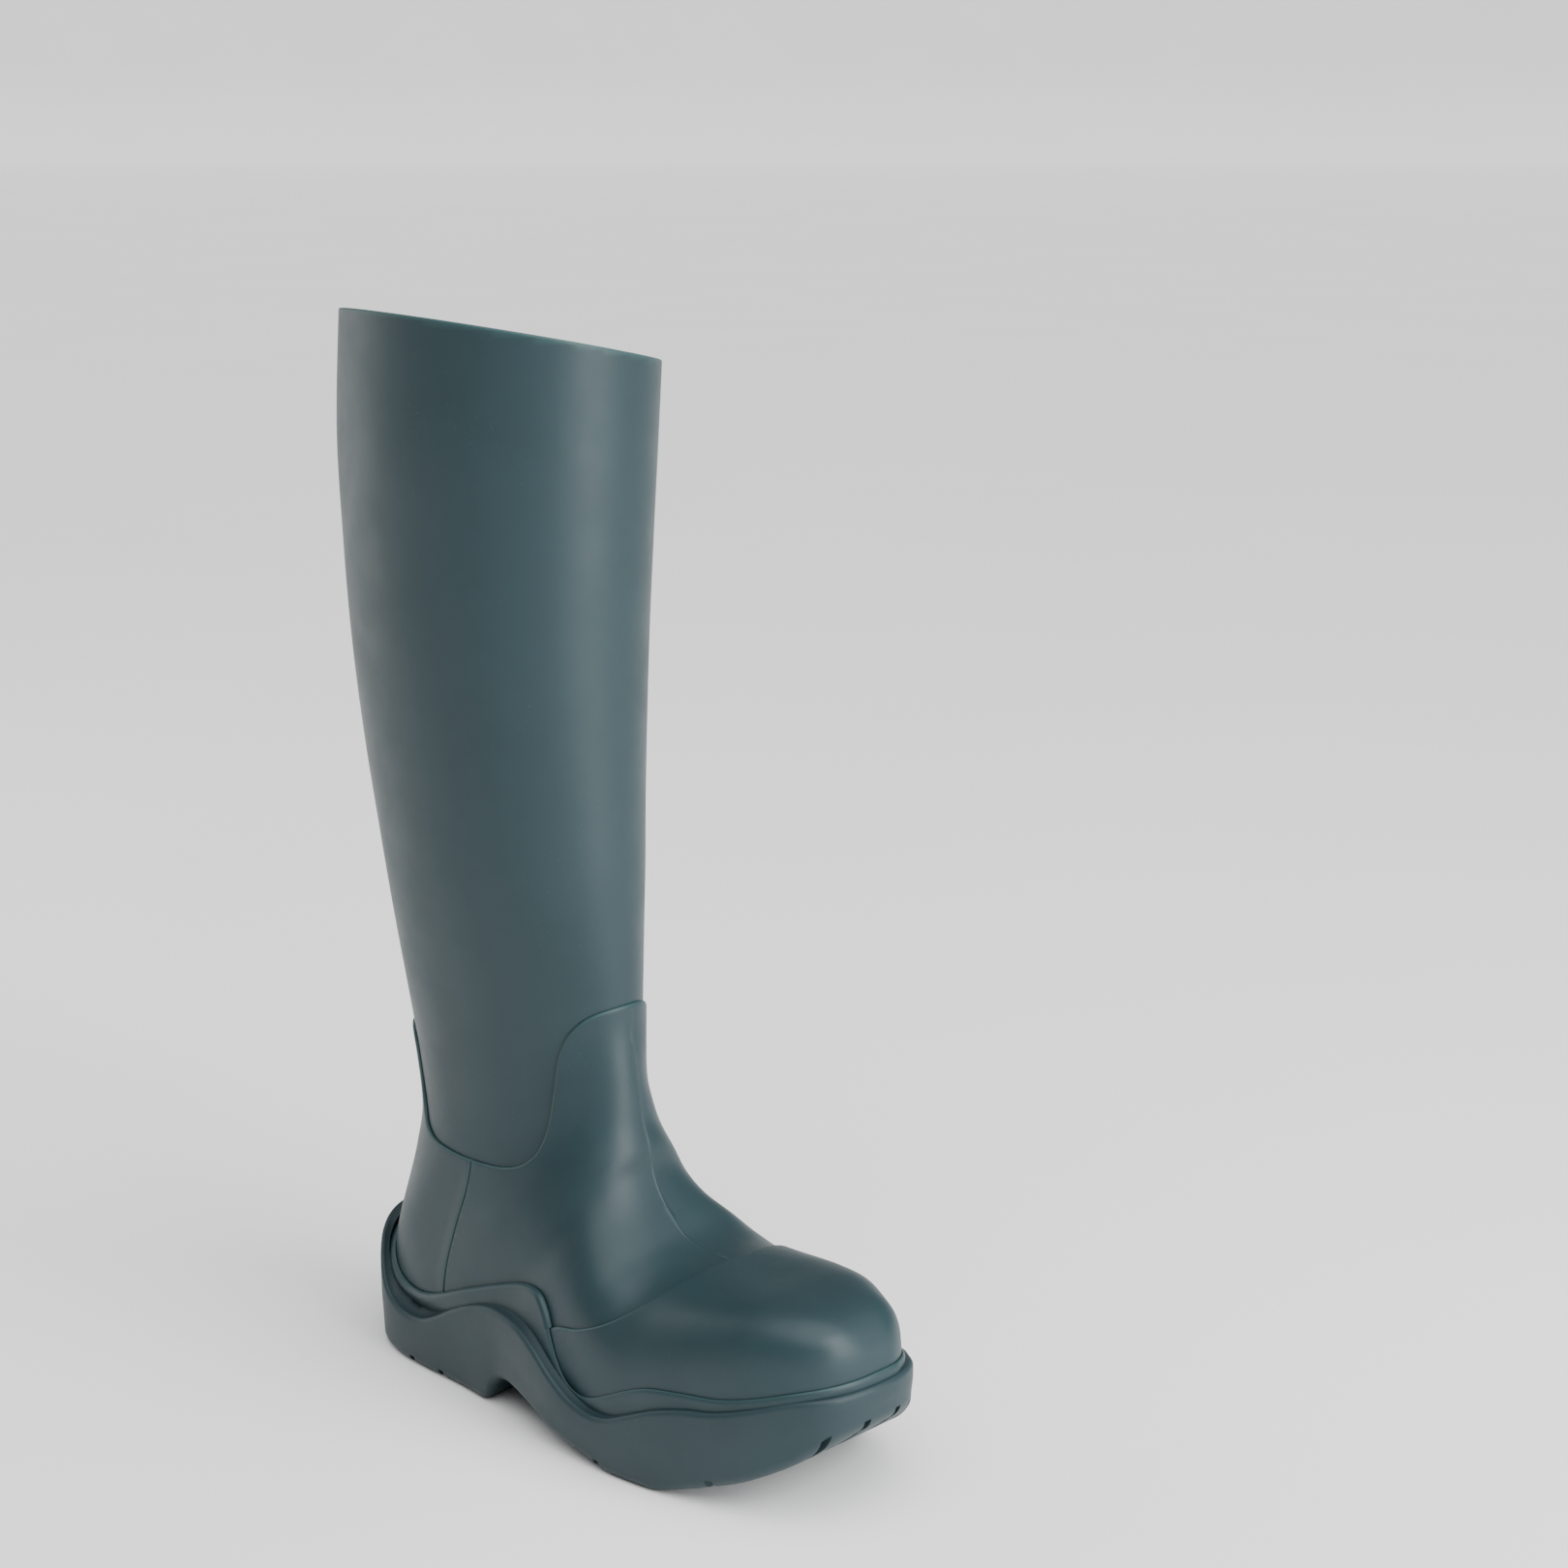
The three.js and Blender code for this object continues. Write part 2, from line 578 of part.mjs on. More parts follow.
// Linings: a thick sock in the foot with room for the stiffeners, a thin sleeve in the leg.
const puffRoom = toeward(uprightLine(long(PUFF_BACK) - GAP));
const counterRoom = box(-300, long(COUNTER_FRONT) + GAP, -90, 90, -60, COUNTER_TOP + GAP);
const stiffenerRoom = shell(OUT_STIFFENER + GAP, IN_STIFFENER - GAP)
  .intersect(below(bedLine, BOARD_RISE + GAP).add(puffRoom).add(counterRoom));
const footLining = shell(OUT_STIFFENER, IN_FOOT_LINING)
  .intersect(box(-300, 300, -90, 90, -60, LINING_JOIN))
  .subtract(stiffenerRoom);
piece("foot_lining", footLining, KNIT);
const legLining = shell(OUT_STIFFENER, IN_LEG_LINING)
  .intersect(box(-300, 300, -90, 90, LINING_JOIN + GAP, FAR))
  .subtract(overRim(LINING_BACKSET));
piece("leg_lining", legLining, KNIT);

// The loose footbed: a foam slab with its cloth cover bonded on top.
const bedRoom = body(IN_FOOT_LINING - FOOTBED_GAP);
const bedFloor = -IN_FOOT_LINING + FOOTBED_GAP;
const footbed = bedRoom.intersect(below(bedLine, bedFloor + FOOTBED_THICK));
const cover = bedRoom
  .intersect(above(bedLine, bedFloor + FOOTBED_THICK + GAP))
  .intersect(below(bedLine, bedFloor + FOOTBED_THICK + GAP + FOOTBED_COVER_THICK));
piece("footbed", footbed, FOAM);
piece("footbed_cover", cover, KNIT);

// The origin is the bottom centre of the whole boot.
const bounds = new THREE.Box3().setFromObject(pieces);
const centre = bounds.getCenter(new THREE.Vector3());
pieces.children.forEach((mesh) => mesh.geometry.translate(-centre.x, -centre.y, -bounds.min.z));

export default pieces;
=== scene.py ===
"""A knee-high rubber rain boot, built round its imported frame. Lengths in tables are millimetres."""
import math

import bmesh
import bpy
import numpy as np
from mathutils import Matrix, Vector


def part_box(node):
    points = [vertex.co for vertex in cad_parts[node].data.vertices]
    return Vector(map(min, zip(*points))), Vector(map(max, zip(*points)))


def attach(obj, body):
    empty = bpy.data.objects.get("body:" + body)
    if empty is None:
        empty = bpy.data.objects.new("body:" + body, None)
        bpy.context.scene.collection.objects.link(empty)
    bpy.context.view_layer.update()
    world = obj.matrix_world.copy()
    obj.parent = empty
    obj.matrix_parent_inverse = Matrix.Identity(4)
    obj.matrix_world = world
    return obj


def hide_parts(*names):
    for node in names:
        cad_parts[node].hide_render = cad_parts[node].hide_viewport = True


bl_info = {
    "name": "Rubber Rain Boot",
    "version": (1, 0, 0),
    "blender": (4, 5, 0),
    "location": "View3D > Sidebar > Rain Boot",
    "description": "Builds a knee-high rubber rain boot from its sheets, strips, sole and lining",
    "category": "Add Mesh",
}

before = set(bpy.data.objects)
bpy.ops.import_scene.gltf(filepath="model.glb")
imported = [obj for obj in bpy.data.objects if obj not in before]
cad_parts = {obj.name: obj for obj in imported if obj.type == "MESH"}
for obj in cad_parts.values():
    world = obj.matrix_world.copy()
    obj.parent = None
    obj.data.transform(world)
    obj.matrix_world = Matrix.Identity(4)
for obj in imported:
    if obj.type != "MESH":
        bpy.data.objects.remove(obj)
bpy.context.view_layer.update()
MM = 0.001

# ---- the shape of the boot ------------------------------------------------------------------

# Upright sections of the foot from the toe back: x, top z, lateral y, medial y.
TOE_TIP = (140.4, -0.5, 51.5)
TOE_POWER = 4.0  # how square the toe is across its top; 2 is round
FOOT_SECTIONS = (
    (139.8, 64, -9.5, 7), (138.6, 70.5, -16, 10.5), (135.5, 76, -23.5, 16),
    (130, 79.5, -30, 21.5), (120, 81.8, -36.5, 27.5), (106, 82.4, -42.5, 35.5),
    (88, 81.2, -47, 43), (68, 80.4, -51, 49.5), (46, 79.8, -53, 54),
)
# Leaning sections over the instep, round the heel and up the leg:
# front x and z, back x and z, lateral half width, medial half width.
LEG_SECTIONS = (
    (31, 82.6, 26, 17, 53, 51.5), (22, 89.2, 4, 22.5, 51.5, 48),
    (14.5, 97.5, -20, 26.5, 48, 42), (9.5, 107.5, -46, 27, 44.5, 38.5),
    (7.5, 119, -74, 24.5, 44, 37), (4, 129, -102, 23, 43, 36),
    (2, 139, -125, 24.5, 40.5, 34), (0.3, 148, -136, 36, 38.5, 32),
    (-1, 155.5, -138, 52, 37.5, 32), (-2.2, 163, -135.5, 69, 36.5, 32.5),
    (-3.3, 172, -130, 87, 36, 33), (-3.5, 183, -125.5, 106, 36.5, 33),
    (-3.2, 198, -126, 131, 39.5, 34), (-2.8, 217, -128.5, 162, 44.5, 36),
    (-2.3, 240, -132, 198, 50, 38.5), (-2, 267, -136.5, 238, 54.5, 40.5),
    (-1.2, 300, -141.5, 282, 59, 43), (0.5, 338, -145.5, 328, 62.5, 45),
    (3, 380, -148, 374, 64.5, 47), (5.5, 422, -148.5, 420, 66, 49),
    (8.5, 480, -144.5, 480, 65, 50.5),
)
# Side-view lines, as x and z, from the heel to the toe.
BED_LINE = (
    (-160, 24), (-128, 23), (-102, 23), (-74, 24.5), (-46, 27), (-20, 26.5), (4, 22.5),
    (26, 17), (44, 13.5), (60, 12), (78, 13.5), (95, 17.5), (110, 22.5), (122, 27.5),
    (131, 33.5), (136, 38.5), (140, 44), (150, 52),
)
LIP_LINE = (
    (-156, 58), (-148, 56.5), (-138, 50), (-128, 38), (-118, 28), (-106, 24), (-92, 24),
    (-80, 29), (-68, 36), (-54, 42.5), (-40, 46.5), (-27, 47.5), (-14, 46), (-2, 41), (10, 33.5),
    (22, 27), (33, 24.5), (43, 25.5), (56, 31), (70, 37), (84, 40.8), (97, 43), (112, 47.5),
    (128, 53), (140, 55.5), (156, 57),
)
UNDER_LINE = (
    (-156, 2), (-148, 1), (-142, 0), (-60, 0), (-47, 0.2), (-43, 3), (-39, 9.5), (-34, 14),
    (-26, 15.5), (-12, 13.5), (2, 9.5), (18, 5.8), (33, 2.6), (39, 0.9), (44, 0), (67, 0),
    (72, 1), (78, 3), (86, 5.7), (96, 9.2), (107, 13.4), (118, 18.8), (128, 25), (136, 31.5),
    (142, 36.5), (156, 43),
)
RAND_LINE = (
    (-156, 60), (-148, 58.5), (-138, 52.5), (-129, 43.5), (-118, 36.5), (-106, 33.5), (-94, 34.5),
    (-80, 39), (-66, 45), (-50, 51.5), (-36, 57), (-24, 61), (-14, 62.5), (-6, 61.5), (0, 56),
    (5, 47), (10, 38), (15, 32), (22, 29), (30, 29.5), (40, 33.5), (52, 39.5), (64, 44),
    (80, 46.5), (97, 48.3), (112, 52), (128, 57), (140, 60), (156, 61.5),
)
COLLAR_LINE = (
    (-170, 152.5), (-123, 152.5), (-117, 150.5), (-113.5, 145), (-112.5, 134), (-110.5, 122),
    (-105, 112), (-96, 106.3), (-82, 104.3), (-60, 103.8), (-45, 105.2), (-34, 109),
    (-27, 115.5), (-23.5, 126), (-22, 142), (-20.5, 158), (-16.5, 169), (-9.5, 177),
    (0, 181.5), (30, 183),
)
CAP_LINE = (
    (-14, 20), (-8, 40), (5, 51.5), (21, 56), (34, 61), (45, 67.5), (53, 74), (58.5, 81),
    (60.5, 86), (61, 110),
)
QUARTER_LINE = (
    (-83.5, -20), (-79.5, 30), (-76.5, 52), (-71, 74), (-66, 92), (-62.5, 130), (-62.5, 300),
)
# Sole outline in plan: x, lateral y, medial y.
SOLE_PLAN = (
    (-148, -3, -1), (-146.5, -13, 9), (-142.5, -24, 19), (-135, -34.5, 28), (-124, -43, 35),
    (-108, -48, 39), (-88, -49.5, 40.5), (-64, -50, 41.5), (-40, -52.5, 43.5), (-16, -57, 47.5),
    (8, -61, 54), (30, -61.5, 58), (52, -60.5, 59.5), (74, -57.5, 56), (94, -53, 50.5),
    (110, -48.5, 44.5), (122, -42.5, 37.5), (132, -36.5, 29.8), (139, -31, 24.3), (144, -23, 16.5),
    (146.6, -10.5, 7.5), (147.2, -1.5, 0),
)
RIM_HEIGHT, RIM_SLOPE, RIM_FALL, RIM_MIDDLE = 457.0, 0.215, 0.02, -70.0
GROOVES = ((-98, 90), (-77, 90), (38, 90), (52, 34), (67, 36), (82, 36), (96, 90), (114, 30))
TOE_GROOVES = (-28, -10, 8, 22)

# Distances out from the bare leg.
OUT_FOOT, IN_SHEET, OUT_CAP, OUT_RAND = 1.5, -2.0, 3.1, 4.6
IN_LEG_LINING, IN_FOOT_LINING = -3.3, -5.1
GLUE = 0.3  # glue line between neighbouring pieces
LEG_LAP = 9.0  # the leg sheet runs this far down inside the foot sheets
QUARTER_LAP = 7.0  # the heel quarter covers this much of the vamp
CAP_LAP = 8.0  # the rand covers this much of the toe cap
RAND_DEPTH = 11.0  # the rand runs this far down inside the outsole lip
LINING_JOIN = 128.0  # height where the leg lining meets the foot lining
UNDER_GROUND = -20.0  # cutters of the tread start down here
TOE_GROOVE_RUN = (126.0, 160.0)
TREAD_LINES_BACK = -134.0
TREAD_LINE_SIZE = (0.0012, 0.040, 0.0014)


def centripetal(points, steps=14):
    """A smooth line through points, with steps samples in each span."""
    p = np.array(points, float)
    p = np.vstack([2 * p[0] - p[1], p, 2 * p[-1] - p[-2]])
    gap = np.linalg.norm(np.diff(p, axis=0), axis=1) ** 0.5
    out = []
    w = np.linspace(0, 1, steps, endpoint=False)[:, None]
    for i in range(1, len(p) - 2):
        a, b, c = gap[i - 1], gap[i], gap[i + 1]
        p0, p1, p2, p3 = p[i - 1:i + 3]
        m1 = ((p1 - p0) / a - (p2 - p0) / (a + b) + (p2 - p1) / b) * b
        m2 = ((p2 - p1) / b - (p3 - p1) / (b + c) + (p3 - p2) / c) * b
        out.append(hermite(p1, p2, m1, m2, w))
    return np.vstack([*out, p[-2:-1]])


def hermite(p1, p2, m1, m2, w):
    """A cubic from p1 to p2, leaving with slope m1 and arriving with slope m2."""
    return ((2 * w**3 - 3 * w**2 + 1) * p1 + (w**3 - 2 * w**2 + w) * m1
            + (3 * w**2 - 2 * w**3) * p2 + (w**3 - w**2) * m2)


def uniform(knots, t):
    """Smooth values at t, where knots is already padded with one more row at each end."""
    i = np.clip(np.floor(t).astype(int), 0, len(knots) - 4)
    w = (t - i)[:, None]
    p0, p1, p2, p3 = (knots[i + k] for k in range(4))
    return hermite(p1, p2, (p2 - p0) / 2, (p3 - p1) / 2, w)


def smoothstep(x, low, high):
    """Climbs from 0 at low to 1 at high, level at both ends."""
    x = np.clip((x - low) / (high - low), 0, 1)
    return x * x * (3 - 2 * x)


bed_line, lip_line, under_line = (centripetal(line) for line in (BED_LINE, LIP_LINE, UNDER_LINE))
rand_line, collar_line = centripetal(RAND_LINE), centripetal(COLLAR_LINE)
cap_line, quarter_line = centripetal(CAP_LINE), centripetal(QUARTER_LINE)
under_line[:, 1] = np.maximum(under_line[:, 1], 0)


def height_on(line, x):
    """Height of a side-view line at x."""
    return np.interp(x, line[:, 0], line[:, 1])


def control_knots():
    """One row for each control section, from the toe tip to the rim."""
    rows = []
    for x, top, lateral, medial in FOOT_SECTIONS:
        top_power = 2.5 + (TOE_POWER - 2.5) * smoothstep(x, 50, 110)
        rows.append((x, top, x, height_on(bed_line, x), lateral, medial, 0.36, top_power, 4.6))
    for i, (fx, fz, bx, bz, lateral, medial) in enumerate(LEG_SECTIONS):
        widest = 0.38 + 0.12 * smoothstep(i, 5, 13)
        top_power = 2.8 - 0.72 * smoothstep(i, 0, 6)
        bottom_power = 5.2 - 3.15 * smoothstep(i, 4, 9)
        rows.append((fx, fz, bx, bz, -lateral, medial, widest, top_power, bottom_power))
    x, y, z = TOE_TIP
    tip = (x, z, x, z, y, y, 0.36, TOE_POWER, 4.6)
    first = rows[0]
    # The row before the tip mirrors the first section, so that the toe closes round.
    ghost = (first[0], 2 * z - first[1], first[2], 2 * z - first[3],
             2 * y - first[4], 2 * y - first[5], 0.36, TOE_POWER, 4.6)
    last = 2 * np.array(rows[-1]) - np.array(rows[-2])
    return np.vstack([ghost, tip, rows, last])


KNOTS = control_knots()
T_END = len(KNOTS) - 3.0


def at(q, offset=0.0):
    """Points of the boot's surface for q = (t, cos, sin), moved out by offset."""
    base = surface(q)
    return base + normal(q) * np.reshape(offset, (-1, 1)) if np.any(offset) else base


def surface(q):
    """Points of the bare boot: a superellipse round each section."""
    row = uniform(KNOTS, np.clip(q[:, 0], 0, T_END))
    c, s = q[:, 1], q[:, 2]
    size = np.maximum(np.hypot(c, s), 1e-12)
    c, s = c / size, s / size
    power = np.where(c >= 0, row[:, 7], row[:, 8])
    reach = (np.abs(c) ** power + np.abs(s) ** power) ** (-1 / power)
    front, back = row[:, 0:2], row[:, 2:4]
    heart = back + (front - back) * row[:, 6:7]
    end = np.where(c[:, None] >= 0, front, back)
    flat = heart + (end - heart) * (np.abs(c) * reach)[:, None]
    y = (row[:, 4] + row[:, 5]) / 2 + (row[:, 5] - row[:, 4]) / 2 * s * reach
    return np.column_stack([flat[:, 0], y, flat[:, 1]])


def turned(q, angle):
    """The same points, moved round their sections by an angle."""
    c, s = q[:, 1], q[:, 2]
    moved = q.copy()
    moved[:, 1] = c * math.cos(angle) - s * math.sin(angle)
    moved[:, 2] = s * math.cos(angle) + c * math.sin(angle)
    return moved


def normal(q):
    """Outward normals, by small steps along and round the surface."""
    step_t, turn = 0.02, 0.01
    low, high = q.copy(), q.copy()
    low[:, 0] = np.maximum(q[:, 0] - step_t, 0.001)
    high[:, 0] = np.minimum(q[:, 0] + step_t, T_END)
    high[:, 0] = np.maximum(high[:, 0], low[:, 0] + 0.004)
    along = surface(high) - surface(low)
    off_tip = q.copy()
    off_tip[:, 0] = np.maximum(q[:, 0], 0.02)
    around = surface(turned(off_tip, turn)) - surface(turned(off_tip, -turn))
    cross = np.cross(around, along)
    cross /= np.maximum(np.linalg.norm(cross, axis=1), 1e-9)[:, None]
    cross[q[:, 0] < 0.01] = (1, 0, 0)
    return cross


# ---- cutting the surface into sheets ----------------------------------------------------------

def surface_grid(spacing, around, t_from=0.0, t_to=T_END):
    """The surface as q and triangles, with rings about spacing apart."""
    turn = np.arange(around) * 2 * math.pi / around
    c, s = np.cos(turn), np.sin(turn)
    fine = np.linspace(t_from, t_to, 900)
    picks = np.arange(0, around, max(around // 12, 1))
    rings = [surface(np.column_stack([fine, np.full(900, c[k]), np.full(900, s[k])])) for k in picks]
    run = np.mean([np.linalg.norm(np.diff(r, axis=0), axis=1) for r in rings], axis=0)
    run = np.concatenate([[0], np.cumsum(run)])
    count = max(int(run[-1] / spacing), 4)
    ts = np.interp(np.linspace(0, run[-1], count + 1), run, fine)
    closed_toe = t_from == 0.0
    ts = ts[1:] if closed_toe else ts
    q = np.column_stack([np.repeat(ts, around), np.tile(c, len(ts)), np.tile(s, len(ts))])
    k = np.arange(around)
    n = (k + 1) % around
    tris = []
    for r in range(len(ts) - 1):
        a, b = r * around + k, r * around + n
        d, e = a + around, b + around
        if r % 2 == 0:
            tris += [np.column_stack([a, b, e]), np.column_stack([a, e, d])]
        else:
            tris += [np.column_stack([a, b, d]), np.column_stack([b, e, d])]
    if closed_toe:
        q = np.vstack([q, [[0.0, 1.0, 0.0]]])
        tris.append(np.column_stack([np.full(around, len(q) - 1), n, k]))
    return q, np.vstack(tris)


def split(q, tri, field, level=0.0, snap=0.02):
    """Splits the triangles along field = level, and gives each vertex's side: -1, 0 or 1."""
    f = field(q) - level
    side = np.where(np.abs(f) < snap, 0, np.sign(f)).astype(int)
    s = side[tri]
    cross = (s.min(1) < 0) & (s.max(1) > 0)
    if not cross.any():
        return q, tri, side
    kept, cut = tri[~cross], tri[cross]
    s = side[cut]
    zero = (s == 0).any(1)
    odd_one = np.argmax(s * -np.sign(s.sum(1))[:, None], axis=1)
    lone = np.where(zero, np.argmin(np.abs(s), axis=1), odd_one)
    pick = (lone[:, None] + np.arange(3)) % 3
    cut = np.take_along_axis(cut, pick, 1)
    a, b, c = cut.T
    edges = np.vstack([np.column_stack([a, b])[~zero], np.column_stack([a, c])[~zero],
                       np.column_stack([b, c])[zero]])
    edges.sort(axis=1)
    unique, back = np.unique(edges, axis=0, return_inverse=True)
    back = back.ravel()
    lo, hi = unique[:, 0], unique[:, 1]
    flo, fhi = f[lo], f[hi]
    wlo, whi = np.zeros(len(lo)), np.ones(len(lo))
    for _ in range(4):
        w = wlo + (whi - wlo) * np.clip(flo / np.where(flo == fhi, 1, flo - fhi), 0.02, 0.98)
        new = q[lo] * (1 - w)[:, None] + q[hi] * w[:, None]
        got = field(new) - level
        same = np.sign(got) == np.sign(flo)
        wlo, flo = np.where(same, w, wlo), np.where(same, got, flo)
        whi, fhi = np.where(same, whi, w), np.where(same, fhi, got)
    ids = len(q) + back
    plain = int((~zero).sum())
    ab, ac, bc = ids[:plain], ids[plain:2 * plain], ids[2 * plain:]
    pa, pb, pc = cut[~zero].T
    za, zb, zc = cut[zero].T
    made = [np.column_stack(x) for x in (
        (pa, ab, ac), (ab, pb, pc), (ab, pc, ac), (za, zb, bc), (za, bc, zc))]
    side = np.concatenate([side, np.zeros(len(unique), int)])
    return np.vstack([q, new]), np.vstack([kept, *made]), side


def keep_above(q, tri, field, level=0.0):
    """Keeps the part of the sheet where field is over level."""
    q, tri, side = split(q, tri, field, level)
    tri = tri[side[tri].max(1) > 0]
    return compact(q, tri)


def compact(q, tri):
    """Drops the points that no triangle uses."""
    used, back = np.unique(tri, return_inverse=True)
    return q[used], back.reshape(-1, 3)


def open_edges(tri):
    """The edges that only one triangle uses."""
    edges = np.vstack([tri[:, [0, 1]], tri[:, [1, 2]], tri[:, [2, 0]]])
    key = np.sort(edges, axis=1)
    _, first, times = np.unique(key, axis=0, return_index=True, return_counts=True)
    return edges[first[times == 1]]


def sheet_solid(q, tri, outer, inner):
    """A closed sheet between two offset surfaces. outer and inner give an offset for each q."""
    top, bottom = at(q, outer(q)), at(q, inner(q))
    count = len(q)
    rim = open_edges(tri)
    a, b = rim.T
    wall = np.vstack([np.column_stack([b, a, a + count]), np.column_stack([b, a + count, b + count])])
    return np.vstack([top, bottom]), np.vstack([tri, tri[:, ::-1] + count, wall])


def line_distance(line, x, z):
    """How far each point is from a side-view line."""
    best = np.full(len(x), 1e9)
    a, d = line[:-1], np.diff(line, axis=0)
    size = np.maximum((d**2).sum(1), 1e-9)
    for (ax, az), (dx, dz), ss in zip(a, d, size):
        w = np.clip(((x - ax) * dx + (z - az) * dz) / ss, 0, 1)
        best = np.minimum(best, (x - ax - w * dx) ** 2 + (z - az - w * dz) ** 2)
    return np.sqrt(best)


def over_line(line, sign=1, shift=0.0):
    """A field that grows above (or below, with sign -1) a line drawn from heel to toe."""
    moved = line + (0, shift)

    def field(q):
        p = surface(q)
        up = np.where(p[:, 2] > height_on(moved, p[:, 0]), 1, -1)
        return sign * up * line_distance(moved, p[:, 0], p[:, 2])
    return field


def toe_side(line, sign=1, shift=0.0):
    """A field that grows to the toe side (or heel side) of a line that climbs."""
    moved = line + (shift, 0)

    def field(q):
        p = surface(q)
        toeward = np.where(p[:, 0] > np.interp(p[:, 2], moved[:, 1], moved[:, 0]), 1, -1)
        return sign * toeward * line_distance(moved, p[:, 0], p[:, 2])
    return field


def under_rim(drop=0.0):
    """A field that grows downwards from the slanting rim, or from drop below it."""
    def field(q):
        p = surface(q)
        slant = RIM_SLOPE * p[:, 1] + RIM_FALL * (p[:, 0] - RIM_MIDDLE)
        return RIM_HEIGHT - drop - slant - p[:, 2]
    return field


def over_height(z):
    """A field that grows upwards from height z."""
    return lambda q: surface(q)[:, 2] - z


def under_height(z):
    """A field that grows downwards from height z."""
    return lambda q: z - surface(q)[:, 2]


def everywhere(offset):
    """The same offset at every point."""
    return lambda q: np.full(len(q), offset)


ROUND_STEPS = (0.04, 0.15, 0.35, 0.65, 1.0)


def rounded(distance, radius, low, high):
    """An edge that climbs from low at distance 0 to high at radius, as a quarter round."""
    w = 1 - np.clip(distance / radius, 0, 1)
    return low + (high - low) * np.sqrt(np.maximum(1 - w * w, 0))


def split_at(q, tri, field, levels):
    """Splits the triangles along several levels of a field."""
    for level in levels:
        q, tri, _ = split(q, tri, field, level)
    return q, tri


def with_levels(q, tri, field, radius):
    """Splits along the levels that a rounded edge of this radius needs."""
    return split_at(q, tri, field, [radius * step for step in ROUND_STEPS])


def painted_edge_highlight(distance, start, run, strength):
    """How much painted highlight each point gets near a sheet's edge, for both faces of a sheet."""
    near = 1 - np.clip((distance - start) / run, 0, 1)
    return np.concatenate([near, near]) * strength


# ---- meshes ---------------------------------------------------------------------------------

def frame_shift():
    """How far the frame's origin is from the drawing's, from the outsole's own box."""
    plan = np.array(SOLE_PLAN)
    low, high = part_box("outsole")
    middle = (plan[:, 0].min() + plan[:, 0].max()) / 2, (plan[:, 1].min() + plan[:, 2].max()) / 2
    return np.array([(low.x + high.x) / 2 / MM - middle[0], (low.y + high.y) / 2 / MM - middle[1], 0])


SHIFT = frame_shift()


def mesh_piece(name, points, faces, edge=None, sharp=38):
    """A new object from points in millimetres and triangle or quad faces."""
    mesh = bpy.data.meshes.new(name)
    if isinstance(faces, np.ndarray):
        a, b, c = (points[faces[:, k]] for k in range(3))
        inside_out = np.sum(a * np.cross(b, c)) < 0
        faces = (faces[:, ::-1] if inside_out else faces).tolist()
    mesh.from_pydata((np.asarray(points) + SHIFT) * MM, [], faces)
    mesh.validate()
    mesh.polygons.foreach_set("use_smooth", np.ones(len(mesh.polygons), bool))
    # edge holds how much painted highlight each point gets along a sheet edge.
    if edge is not None:
        layer = mesh.attributes.new("edge", "FLOAT", "POINT")
        layer.data.foreach_set("value", np.asarray(edge, np.float32))
    mesh.set_sharp_from_angle(angle=math.radians(sharp))
    mesh.update()
    piece = bpy.data.objects.new(name, mesh)
    bpy.context.scene.collection.objects.link(piece)
    return piece


def finish_piece(piece, material, nodes=()):
    """Gives a piece its material, hangs it on the root body and hides the CAD nodes that it stands for."""
    piece.data.materials.clear()
    piece.data.materials.append(material)
    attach(piece, "root")
    if nodes:
        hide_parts(*nodes)


def even_ring(ring, count):
    """A closed ring as count points at even distances."""
    closed = np.vstack([ring, ring[:1]])
    run = np.concatenate([[0], np.cumsum(np.linalg.norm(np.diff(closed, axis=0), axis=1))])
    s = np.linspace(0, run[-1], count, endpoint=False)
    return np.column_stack([np.interp(s, run, closed[:, k]) for k in (0, 1)])


def softened(ring, times):
    """A closed ring with its corners eased."""
    for _ in range(times):
        ring = (np.roll(ring, 1, 0) + 2 * ring + np.roll(ring, -1, 0)) / 4
    return ring


def inwards(ring):
    """Unit steps from each point of a ring towards its inside."""
    tangent = np.roll(ring, -1, 0) - np.roll(ring, 1, 0)
    tangent /= np.linalg.norm(tangent, axis=1)[:, None]
    return np.column_stack([-tangent[:, 1], tangent[:, 0]])


def plan_ring(inset, count=520):
    """The sole outline as an even ring of points, moved inwards by inset."""
    knots = np.array(SOLE_PLAN, float)
    knots = np.vstack([2 * knots[0] - knots[1], knots, 2 * knots[-1] - knots[-2]])
    p = uniform(knots, np.linspace(0, len(knots) - 3, 700))
    ring = np.vstack([p[:, :2], p[::-1][:, [0, 2]]])
    ring = softened(even_ring(ring, count), 6)
    return ring + inwards(ring) * inset


def loft(rings):
    """Points and side faces through rings of equal count, with both ends left open."""
    count = len(rings[0])
    points = np.vstack(rings)
    k = np.arange(count)
    n = (k + 1) % count
    faces = []
    for r in range(len(rings) - 1):
        a, b = r * count + k, r * count + n
        faces.append(np.column_stack([a, b, b + count, a + count]))
    return points, np.vstack(faces).tolist()


def strip_fill(points, ring, up, steps=26):
    """Fills a ring with a grid of faces across it, following z of its edge."""
    count = len(ring)
    start = int(np.argmin(points[ring, 0]))
    order = np.roll(np.array(ring), -start)
    half = count // 2
    made, faces, rows = [], [], []
    base = len(points)
    for k in range(1, half):
        a, b = order[k], order[count - k]
        w = np.linspace(0, 1, steps)[1:-1, None]
        line = points[a] * (1 - w) + points[b] * w
        ids = list(range(base + len(made), base + len(made) + len(line)))
        made.extend(line)
        rows.append([a, *ids, b])
    for row, other in zip(rows, rows[1:]):
        for i in range(steps - 1):
            faces.append([row[i], other[i], other[i + 1], row[i + 1]])
    for i in range(steps - 1):
        faces.append([rows[0][i], rows[0][i + 1], order[0]])
        faces.append([rows[-1][i + 1], rows[-1][i], order[half]])
    if not up:
        faces = [f[::-1] for f in faces]
    return np.vstack([points, made]), faces


